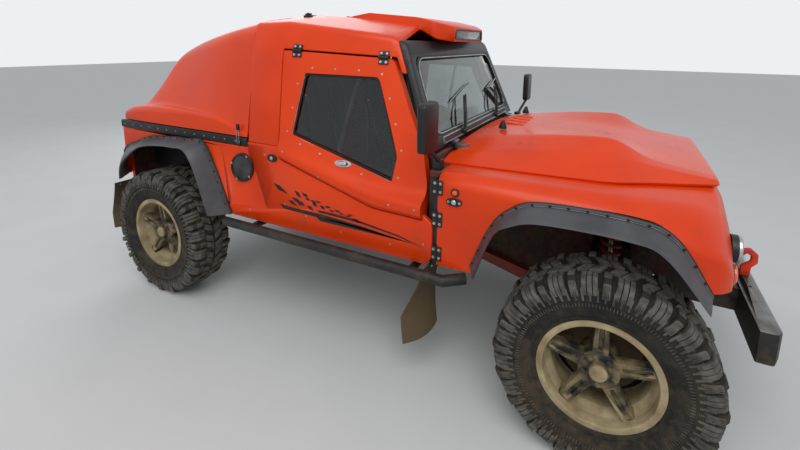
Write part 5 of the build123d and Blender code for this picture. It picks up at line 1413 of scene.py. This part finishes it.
doorFacts = dict(wall=0.042, bulgeY=0.850, midZ=1.094, waistZ=1.507, topZ=1.560, below=0.012, ease=0.07,
                 hingeHalf=0.025, barrel=0.007, pin=0.0045, tilt=0.27, boltX=0.014, boltY=0.0215, boltZ=-0.004,
                 rearX=-0.385, length=0.866, rows=52, probe=0.02)
doorHinges = [Vector((-0.285, 0.762, 1.545)), Vector((0.176, 0.682, 1.519))]
windowOutline = [(-0.237, 1.433), (0.150, 1.425), (0.165, 1.409), (0.294, 1.063), (0.283, 0.947),
                 (-0.293, 1.120)]
doorOutline = [(-0.365, 0.988), (-0.365, 1.545), (0.222, 1.512), (0.322, 1.291), (0.421, 1.094), (0.455, 0.960),
               (0.461, 0.816), (0.200, 0.824)]
doorRounds = [0.004, 0.012, 0.030, 0.004, 0.004, 0.004, 0.004, 0.030]
# each station: x, the bulge's low z and top z, then y at its ledge, the door's middle and waist
doorStations = [(-0.365, 0.988, 1.045, 0.833, 0.827, 0.774), (0.200, 0.824, 0.903, 0.800, 0.757, 0.670),
                (0.461, 0.816, 0.893, 0.776, 0.735, 0.622)]


def doorStraight(x):
    near, far = doorStations[:2] if x < doorStations[1][0] else doorStations[1:]
    t = (x - near[0]) / (far[0] - near[0])
    return [a + (b - a) * t for a, b in zip(near[1:], far[1:])]


def doorEased(x):
    # the stations' values with the bend at the middle one drawn out
    samples = [doorStraight(x + doorFacts["ease"] * k / 4) for k in range(-4, 5)]
    return [sum(values) / len(samples) for values in zip(*samples)]


def doorProfile(x):
    lowZ, topZ, ledgeY, midY, waistY = doorEased(x)
    bulge = doorFacts["bulgeY"]
    points = [(sideY, lowZ - doorFacts["below"]), (sideY + 0.002, lowZ + 0.001), (bulge, lowZ + 0.016),
              (bulge, topZ - 0.014), (ledgeY + 0.004, topZ + 0.022), (midY, doorFacts["midZ"]),
              (waistY, doorFacts["waistZ"]), (waistY - 0.010, doorFacts["topZ"])]
    return roundedLine([Vector((x, y, z)) for y, z in points], [0.008, 0.014, 0.045, 0.07, 0.10, 0.02])


def doorSkinY(x, z):
    line = doorProfile(x)
    for low, high in zip(line, line[1:]):
        if z <= high.z:
            return low.y + (high.y - low.y) * max(0.0, (z - low.z) / (high.z - low.z))
    return line[-1].y


def makeDoorSkin(side):
    form = bmesh.new()
    rings = []
    for k in range(doorFacts["rows"] + 1):
        x = doorFacts["rearX"] + doorFacts["length"] * k / doorFacts["rows"]
        lowZ, topZ, ledgeY, midY, waistY = doorEased(x)
        inner = [(waistY - 0.010, doorFacts["topZ"]), (waistY, doorFacts["waistZ"]), (midY, doorFacts["midZ"]),
                 (ledgeY, topZ + 0.006), (sideY, lowZ - doorFacts["below"])]
        ring = doorProfile(x) + [Vector((x, y - doorFacts["wall"], z)) for y, z in inner]
        rings.append([Vector((p.x, p.y * side, p.z)) for p in ring])
    addRings(form, rings)
    mesh = meshOf(form)
    for outline, operation in ((roundedOutline(doorOutline, doorRounds), "INTERSECT"),
                               (roundedOutline(windowOutline, 0.013), "DIFFERENCE")):
        cutter = bmesh.new()
        addPrism(cutter, [(p.x, side * 0.5, p.y) for p in outline], (0, side * 0.4, 0))
        mesh = cutBy(mesh, meshOf(cutter), operation)
    return shaded(mesh, 40)


def hingeFrame(place, side):
    # X along the pins, Y down the door, Z outward
    along = (doorHinges[1] - doorHinges[0]).normalized()
    outward = Vector((0, -doorFacts["tilt"], 1)).cross(along).normalized()
    frameOf = Matrix((along, outward.cross(along), outward)).transposed().to_4x4()
    frameOf.translation = place
    return Matrix.Scale(side, 4, (0, 1, 0)) @ frameOf


def addMovingLeaf(form, frameOf):
    half, barrel = doorFacts["hingeHalf"], doorFacts["barrel"]
    inner = half / 2
    addBox(form, (-half, 0.0082, -0.0122), (half, 0.032, -0.004), 0.0012, matrix=frameOf)
    addBox(form, (-inner, 0.0045, -0.0072), (inner, 0.0095, -0.001), 0.0008, matrix=frameOf)
    part = bmesh.new()
    addLathe(part, [(doorFacts["pin"], -inner), (barrel, -inner), (barrel, inner), (doorFacts["pin"], inner)],
             (0, 0, 0), (1, 0, 0), 20, loop=True)
    addFinished(form, part, 0, matrix=frameOf)


def doorPoint(x, z, side, lift=0.0):
    return Vector((x, side * (doorSkinY(x, z) + lift), z))


def doorFacing(x, z, side):
    step = doorFacts["probe"]
    slope = (doorSkinY(x, z + step) - doorSkinY(x, z - step)) / (2 * step)
    lean = (doorSkinY(x + step, z) - doorSkinY(x - step, z)) / (2 * step)
    return Vector((-lean, side, -slope)).normalized()


def offsetOutline(points, distance):
    points = [Vector(p) for p in points]
    middle = sum(points, Vector((0, 0))) / len(points)
    moved = []
    for i, point in enumerate(points):
        back, ahead = point - points[i - 1], points[(i + 1) % len(points)] - point
        n1, n2 = (Vector((edge.y, -edge.x)).normalized() for edge in (back, ahead))
        if n1.dot(point - middle) < 0:
            n1, n2 = -n1, -n2
        bisector = (n1 + n2).normalized()
        moved.append(point + bisector * distance / max(0.4, bisector.dot(n1)))
    return moved


trimFacts = dict(inset=-0.006, round=0.016, lift=-0.010, wireLift=-0.004, screwOut=0.027, screwGap=0.125,
                 bare=(0.93, 0.012))
lowWire = [(-0.285, 1.114), (-0.05, 1.044), (0.12, 0.993), (0.276, 0.947)]
rearWire = [(-0.291, 1.12), (-0.265, 1.28), (-0.240, 1.42)]
panelScrews = [(-0.330, 1.03), (0.30, 0.86), (0.43, 0.86), (-0.10, 0.93)]
braceSpots = [(0.03, 1.42, -0.050), (-0.02, 1.20, -0.054), (-0.05, 1.02, -0.056)]
latchFacts = dict(place=(0.020, 1.004), plate=(0.046, 0.017), dish=(0.030, 0.0105))
latchPaddle = [(-0.024, -0.007, 0.007), (0.016, -0.009, 0.007), (0.024, 0.0, 0.007), (0.016, 0.009, 0.007),
               (-0.024, 0.007, 0.007)]


def screwSpots(side):
    # round the window at even steps, apart from the sill's front, then the panel's own
    ring = offsetOutline(windowOutline, trimFacts["screwOut"])
    bareZ, margin = trimFacts["bare"]
    spots = spacedAlong([(p.x, p.y, 0) for p in ring + ring[:1]], trimFacts["screwGap"])
    spots = [(p.x, p.y) for p in spots if abs(p.y - bareZ) > margin or p.x < 0] + panelScrews
    return [(doorPoint(x, z, side), doorFacing(x, z, side)) for x, z in spots]


def makeLatch(side):
    # X along the door, Y up it, Z outward
    facing = doorFacing(*latchFacts["place"], side)
    up = Vector((0, 0, 1)).cross(facing).cross(facing).normalized() * -1
    turn = Matrix((up.cross(facing).normalized(), up, facing)).transposed().to_4x4()
    turn.translation = doorPoint(*latchFacts["place"], side)
    latch = bmesh.new()
    plate = [(x, y, -0.002) for x, y in ovalOf(*latchFacts["plate"], 32)]
    addPrism(latch, plate, (0, 0, 0.006), 0.0015, matrix=turn)
    dish = [(x, y, 0.003) for x, y in ovalOf(*latchFacts["dish"], 24)]
    addPrism(latch, dish, (0, 0, 0.005), 0.0015, slot=1, matrix=turn)
    addPrism(latch, latchPaddle, (0, 0, 0.008), 0.002, matrix=turn)
    return latch


roofBolts = []
for side in bothSides:
    name = sideNames[side]
    body = "door_" + name
    placed(makeDoorSkin(side), body + "_skin", body, ["paint"], [body])
    leaves = bmesh.new()
    leafBolts = []
    for place in doorHinges:
        frameOf = hingeFrame(place, side)
        addMovingLeaf(leaves, frameOf)
        facing = frameOf.to_3x3() @ Vector((0, 0, 1))
        for bolts, y in ((leafBolts, doorFacts["boltY"]), (roofBolts, -doorFacts["boltY"])):
            bolts += [(frameOf @ Vector((x, y, doorFacts["boltZ"])), facing)
                      for x in (-doorFacts["boltX"], doorFacts["boltX"])]
    finished(leaves, "hinge_leaves_" + name, body, ["blackPlastic"])
    addHeads("hinge_bolts_" + name, body, leafBolts, 0.0042, 0.003)
    trim = bmesh.new()
    edgeLine = roundedOutline(offsetOutline(windowOutline, trimFacts["inset"]), trimFacts["round"], 4)
    line = [doorPoint(p.x, p.y, side, trimFacts["lift"]) for p in edgeLine]
    addStrip(trim, line, (0, side, -0.2), 0.010, 0.007)
    for wire, radius in ((lowWire, 0.0032), (rearWire, 0.0022)):
        addTube(trim, [doorPoint(x, z, side, trimFacts["wireLift"]) for x, z in wire], radius, 8, slot=1)
    finished(trim, "window_trim_" + name, body, ["stripRubber", "silver"])
    addHeads("window_screws_" + name, body, screwSpots(side), 0.0033, 0.0024, 10)
    finished(makeLatch(side), "door_latch_" + name, body, ["silver", "blackPlastic"])
    gripBar = bmesh.new()
    addTube(gripBar, [doorPoint(x, z, side, lift) for x, z, lift in braceSpots], 0.011, 10)
    finished(gripBar, "window_brace_" + name, body, ["bareMetal"])
addHeads("roof_hinge_bolts", mainBody, roofBolts, 0.0042, 0.003)
print("stage: doors")


# Mirrors: glass in each housing, and a pale metal rim as a painted highlight along the housing's edge

mirrorFacts = dict(y=0.945, z=1.260, glassX=0.5215, rimX=0.5165, glass=(0.056, 0.091, 0.020),
                   rim=(0.0605, 0.0955, 0.024))


def mirrorLine(x, side, halfWide, halfHigh, radius):
    corners = [(-halfWide, -halfHigh), (halfWide, -halfHigh), (halfWide, halfHigh), (-halfWide, halfHigh)]
    return [(x, side * mirrorFacts["y"] + p.x, mirrorFacts["z"] + p.y) for p in roundedOutline(corners, radius)]


mirrorForm = bmesh.new()
for side in bothSides:
    glassLine = mirrorLine(mirrorFacts["glassX"], side, *mirrorFacts["glass"])
    addPrism(mirrorForm, glassLine, (0.0015, 0, 0), 0.0005)
    # the pale rim tube is a painted highlight on the housing's edge
    rimLine = mirrorLine(mirrorFacts["rimX"], side, *mirrorFacts["rim"])
    addTube(mirrorForm, rimLine, 0.0028, 6, slot=1, loop=True)
finished(mirrorForm, "mirror_glass", mainBody, ["mirrorGlass", "bareMetal"])


# Bonnet: rubber cones, and its hinges' bolts

cones = bmesh.new()
for side in bothSides:
    addLathe(cones, [(0, 0), (0.020, 0), (0.021, 0.006), (0.012, 0.030), (0.007, 0.042), (0, 0.044)],
             (0.664, side * 0.284, 1.156), (0.05, 0, 1), 20)
finished(cones, "bonnet_cones", "bonnet", ["stripRubber"])
hingeBolts = [((0.462, side * bonnetFacts["hingeY"] + dy, 1.0913), (0, 0, 1))
              for side in bothSides for dy in (-0.024, 0.024)]
addHeads("bonnet_hinge_bolts", mainBody, hingeBolts, 0.006, 0.004, 6)


# Nose: headlamp bucket, chrome rim, reflector and bulb; indicator base and lens; radiator fins

noseFacts = dict(x=1.6103, y=0.600, lampZ=0.855, blinkerZ=0.754)
# each turned form: its height, profile, sides, slot, and whether it is a ring
noseForms = [
    ("lampZ", [(0.046, 0), (0.0505, 0), (0.0505, 0.022), (0.044, 0.022)], 36, 0, True),
    ("lampZ", [(0.043, 0.020), (0.0505, 0.021), (0.0505, 0.029), (0.047, 0.033), (0.043, 0.031)], 36, 1, True),
    ("lampZ", [(0, 0.004), (0.016, 0.005), (0.036, 0.014), (0.0435, 0.026), (0.0435, 0.020), (0.034, 0.006),
               (0, 0.001)], 36, 1, False),
    ("lampZ", [(0, 0.003), (0.007, 0.003), (0.007, 0.020), (0.004, 0.025), (0, 0.026)], 14, 2, False),
    ("blinkerZ", [(0, 0), (0.045, 0), (0.045, 0.017), (0.042, 0.020), (0, 0.020)], 32, 0, False),
    ("blinkerZ", [(0, 0.019), (0.041, 0.019), (0.041, 0.026), (0.034, 0.032), (0.018, 0.0345), (0, 0.035)], 32,
     3, False),
]
lensProfile = [(0, 0.034), (0.020, 0.0335), (0.036, 0.030), (0.0425, 0.025), (0.0425, 0.027), (0.036, 0.0335),
               (0.020, 0.0372), (0, 0.038)]
nose = bmesh.new()
glass = bmesh.new()
for side in bothSides:
    for height, profile, sides, slot, ring in noseForms:
        at = (noseFacts["x"], side * noseFacts["y"], noseFacts[height])
        addLathe(nose, profile, at, (1, 0, 0), sides, slot, ring)
    addLathe(glass, lensProfile, (noseFacts["x"], side * noseFacts["y"], noseFacts["lampZ"]), (1, 0, 0), 36)
finished(nose, "nose_lamps", mainBody, ["blackPlastic", "silver", "gauge", "amberLens"],
         replaced=["headlamps", "indicators"])
finished(glass, "headlamp_glass", mainBody, ["lampGlass"])
fin = bmesh.new()
addBox(fin, (0, -0.0012, 0), (0.006, 0.0012, 0.330), 0.0004)
fins = grown(gridTree, meshOf(fin), {
    "Count": 64, "Start": (1.5427, -0.378, 0.660), "Step": (0, 0.012, 0),
}, "bareMetal")
placed(fins, "radiator_fins", mainBody, ["bareMetal"])
ends = bmesh.new()
for side in bothSides:
    addSideBox(ends, side, (1.716, 1.770), (0.683, 0.6905), (0.486, 0.592), 0.002)
finished(ends, "bumper_ends", mainBody, ["frameBlack"])
print("stage: nose and lamps")


# Tail: lamps with rims, and the bare plate

tailLamp = [(0, [(0, 0), (0.048, 0), (0.048, 0.014), (0.044, 0.017), (0, 0.017)]),
            (1, [(0, 0.016), (0.042, 0.016), (0.042, 0.024), (0.024, 0.0295), (0, 0.030)])]
tail = bmesh.new()
for side in bothSides:
    for slot, profile in tailLamp:
        addLathe(tail, profile, (-1.7403, side * 0.700, 0.950), (-1, 0, 0), 32, slot=slot)
plateLine = roundedOutline([(-0.26, 0.80), (0.26, 0.80), (0.26, 0.91), (-0.26, 0.91)], 0.012, 3)
addPrism(tail, [(-1.7405, p.x, p.y) for p in plateLine], (-0.003, 0, 0), 0.001, slot=2)
finished(tail, "tail_lamp_set", mainBody, ["blackPlastic", "redLens", "plate"], replaced=["tail_lamps"])
plateScrews = [((-1.7435, y, 0.855), (-1, 0, 0)) for y in (-0.22, 0.22)]
addHeads("plate_screws", mainBody, plateScrews, 0.005, 0.003, 10)


# Cabin: pads, harness, gauges, switches and levers

padFacts = dict(around=28, ends=0.28, tip=0.05, channel=0.22, crisp=6, flat=0.45, crown=0.7, narrow=0.55)


def addPad(form, path, halfWidth, thickness, channels):
    # a crowned pad along a path in the side view, with sewn channels across it
    rings = []
    for i, point in enumerate(path):
        t = i / (len(path) - 1)
        along = alongAt(path, i)
        normal = Vector((along.z, 0, -along.x))
        taper = math.sin(math.pi * t) ** padFacts["ends"] if 0 < t < 1 else padFacts["tip"]
        swell = 1 - padFacts["channel"] * (0.5 + 0.5 * math.cos(math.tau * t * channels)) ** padFacts["crisp"]
        wide = halfWidth * (padFacts["narrow"] + (1 - padFacts["narrow"]) * taper)
        ring = []
        for a in turns(padFacts["around"]):
            c, s = math.cos(a), math.sin(a)
            across = math.copysign(abs(c) ** padFacts["flat"], c) * wide
            out = math.copysign(abs(s) ** padFacts["crown"], s) * thickness / 2 * taper * swell
            ring.append(point + Vector((0, across, 0)) + normal * out)
        rings.append(ring)
    addRings(form, rings)


def addStrap(form, line, half, thick):
    # flat webbing along a path
    wide = Vector((0, half, 0))
    rings = []
    for i, point in enumerate(line):
        out = alongAt(line, i).cross(Vector((0, 1, 0))).normalized() * thick / 2
        rings.append([point - wide - out, point + wide - out, point + wide + out, point - wide + out])
    addRings(form, rings)


# each pad: its path in the side view, half width, thickness and channels
seatY = 0.330
seatPads = [([(0.185, 0.775), (0.05, 0.785), (-0.12, 0.772), (-0.245, 0.765)], 0.178, 0.070, 5),
            ([(-0.240, 0.800), (-0.252, 1.000), (-0.262, 1.180), (-0.318, 1.390)], 0.176, 0.060, 7)]
strapFacts = dict(y=0.085, drawIn=0.35, half=0.025, thick=0.0024, buckle=0.03)
strapRoute = [(-0.335, 1.41), (-0.282, 1.385), (-0.222, 1.180), (-0.212, 1.000), (-0.196, 0.860),
              (-0.150, 0.822)]
for side in bothSides:
    y = side * seatY
    pads = bmesh.new()
    for spots, half, thick, channels in seatPads:
        path = smoothPath([(x, 0, z) for x, z in spots], 40 // (len(spots) - 1))
        addPad(pads, [p + Vector((0, y, 0)) for p in path], half, thick, channels)
    pad = finished(pads, "seat_pads_" + sideNames[side], mainBody, ["seatCloth"], sharp=60)
    straps = bmesh.new()
    for dy in (-strapFacts["y"], strapFacts["y"]):
        route = [(x, y + dy * (1 - strapFacts["drawIn"] * k / 5), z) for k, (x, z) in enumerate(strapRoute)]
        addStrap(straps, smoothPath(route, 5), strapFacts["half"], strapFacts["thick"])
    buckle = strapFacts["buckle"]
    addBox(straps, (-0.166, y - buckle, 0.818), (-0.134, y + buckle, 0.834), 0.004, slot=1)
    finished(straps, "harness_" + sideNames[side], mainBody, ["harnessRed", "blackPlastic"])

gauges = [(-0.40, 1.01, 0.042), (-0.30, 1.01, 0.042), (-0.215, 1.0, 0.028), (0.12, 1.0, 0.03), (0.20, 1.0, 0.03)]
dash = bmesh.new()
for y, z, radius in gauges:
    at = (0.1675, y, z)
    bezel = [(radius - 0.003, 0), (radius + 0.004, 0), (radius + 0.004, 0.010), (radius - 0.003, 0.012)]
    addLathe(dash, bezel, at, (-1, 0, 0), 28, slot=1, loop=True)
    dial = [(0, 0), (radius - 0.002, 0), (radius - 0.002, 0.005), (0, 0.005)]
    addLathe(dash, dial, at, (-1, 0, 0), 28)
    needle = [(-0.0015, -0.006), (0.0015, -0.006), (0.0008 + radius * 0.5, radius * 0.62)]
    addPrism(dash, [(at[0] - 0.006, y + dy, z + dz) for dy, dz in needle], (-0.001, 0, 0), slot=2)
addBox(dash, (0.20, 0.22, 1.084), (0.30, 0.44, 1.150), 0.006, slot=1)
addBox(dash, (0.196, 0.235, 1.094), (0.2, 0.425, 1.140), 0.001, slot=2)
addBox(dash, (0.158, -0.12, 0.955), (0.1675, 0.06, 1.045), 0.003, slot=3)
finished(dash, "dash_gauges", mainBody, ["gauge", "blackPlastic", "springRed", "bareMetal"])
toggle = bmesh.new()
addLathe(toggle, [(0, 0), (0.006, 0), (0.006, 0.004), (0.0022, 0.005), (0.003, 0.018), (0, 0.019)], (0, 0, 0),
         (-1, 0, 0.25), 10)
toggles = grown(gridTree, meshOf(toggle), {
    "Count": 6, "Rows": 2, "Start": (0.158, -0.105, 0.98), "Step": (0, 0.03, 0), "Row Step": (0, 0, 0.04),
}, "silver")
placed(toggles, "dash_switches", mainBody, ["silver"])

knobProfile = [(0, -0.02), (0.012, -0.018), (0.022, 0), (0.018, 0.016), (0, 0.024)]
bootProfile = [(0.05, 0.0), (0.035, 0.03), (0.02, 0.05), (0.008, 0.055), (0.006, 0.05), (0.03, 0.02), (0.045, 0)]
levers = bmesh.new()
for x, y, height in ((-0.02, -0.035, 0.30), (0.04, 0.045, 0.20), (-0.18, 0.055, 0.17)):
    knob = (x - 0.03, y, 0.60 + height)
    addTube(levers, smoothPath([(x, y, 0.600), (x + 0.01, y, 0.60 + height * 0.5), knob], 5), 0.007, 10)
    addLathe(levers, knobProfile, knob, (-0.2, 0, 1), 18, slot=1)
    addLathe(levers, bootProfile, (x, y, 0.616), (0, 0, 1), 18, slot=1, loop=True)
finished(levers, "gear_levers", mainBody, ["bareMetal", "blackPlastic"])
print("stage: cabin")


# Stage, light and camera

lightFacts = dict(sky=((0.95, 0.97, 1.0), 0.62), backdrop=((0.93, 0.94, 0.95), 1.0), size=4.0, aim=(0, 0, 0.6))
lamps = [("key", (1.5, -4.0, 5.0), 170), ("fill", (-4.5, 3.5, 4.0), 70)]
floorFacts = dict(colour=(0.80, 0.80, 0.79), paler=0.03, rough=0.9, half=30, top=-0.001, foot=-0.05)
# the photograph's own viewpoint, fitted to its wheels and body lines; pixels and radians
cameraFacts = dict(place=(1.20983, -2.46518, 1.58810), yaw=2.0410325, pitch=0.1781750, roll=0.0110391,
                   focal=427.836, centre=(406.65, 120.0), picture=(800, 450), sensor=36)


def makeWorld():
    world = bpy.data.worlds.new("studio")
    bpy.context.scene.world = world
    world.use_nodes = True
    tree = world.node_tree
    tree.nodes.clear()
    path = tree.nodes.new("ShaderNodeLightPath").outputs
    seen = maths(tree, "MAXIMUM", path["Is Camera Ray"], path["Is Glossy Ray"])
    seen = maths(tree, "MAXIMUM", seen, path["Is Transmission Ray"])
    sky, backdrop = (addNode(tree, "ShaderNodeBackground", {"Color": linear(colour), "Strength": strength})
                     for colour, strength in (lightFacts["sky"], lightFacts["backdrop"]))
    mix = addNode(tree, "ShaderNodeMixShader", {0: seen, 1: sky, 2: backdrop})
    tree.links.new(mix, tree.nodes.new("ShaderNodeOutputWorld").inputs[0])


def makeFloor():
    form = bmesh.new()
    half = floorFacts["half"]
    addBox(form, (-half, -half, floorFacts["foot"]), (half, half, floorFacts["top"]), 0.01)
    mesh = meshOf(form)
    material = bpy.data.materials.new("studioFloor")
    material.use_nodes = True
    tree = material.node_tree
    place = addNode(tree, "ShaderNodeTexCoord", {}, "Object")
    low = floorFacts["colour"]
    high = tuple(min(1.0, c + floorFacts["paler"]) for c in low)
    shade = mixedColour(tree, noiseOf(tree, place, 3, 4), low, high)
    setInputs(tree, tree.nodes["Principled BSDF"], {"Roughness": floorFacts["rough"], "Base Color": shade})
    mesh.materials.append(material)
    linked("studio_floor", mesh)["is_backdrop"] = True


def addLamp(name, place, power):
    light = bpy.data.lights.new(name, "AREA")
    light.energy = power
    light.size = lightFacts["size"]
    lamp = linked(name, light)
    lamp.location = place
    lamp.rotation_euler = (Vector(lightFacts["aim"]) - Vector(place)).to_track_quat("-Z", "Y").to_euler()


def makeCamera():
    yaw, pitch, roll = cameraFacts["yaw"], cameraFacts["pitch"], cameraFacts["roll"]
    (centreU, centreV), (width, height) = cameraFacts["centre"], cameraFacts["picture"]
    forward = Vector((math.cos(yaw) * math.cos(pitch), math.sin(yaw) * math.cos(pitch), -math.sin(pitch)))
    right = forward.cross(Vector((0, 0, 1))).normalized()
    up = right.cross(forward)
    turnedRight = right * math.cos(roll) + up * math.sin(roll)
    turnedUp = up * math.cos(roll) - right * math.sin(roll)
    data = bpy.data.cameras.new("photoCamera")
    data.sensor_width = cameraFacts["sensor"]
    data.lens = cameraFacts["focal"] / width * cameraFacts["sensor"]
    data.shift_x = (width / 2 - centreU) / width
    data.shift_y = (centreV - height / 2) / width
    camera = linked("photoCamera", data)
    matrix = Matrix((turnedRight, turnedUp, -forward)).transposed().to_4x4()
    matrix.translation = Vector(cameraFacts["place"])
    camera.matrix_world = matrix
    bpy.context.scene.camera = camera


makeWorld()
makeFloor()
for name, place, power in lamps:
    addLamp(name, place, power)
makeCamera()
bpy.context.scene.view_settings.view_transform = "Standard"
triangles = sum(len(p.vertices) - 2 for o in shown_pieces() if o.type == "MESH" for p in o.data.polygons)
print("stage: light and camera,", triangles, "triangles shown")
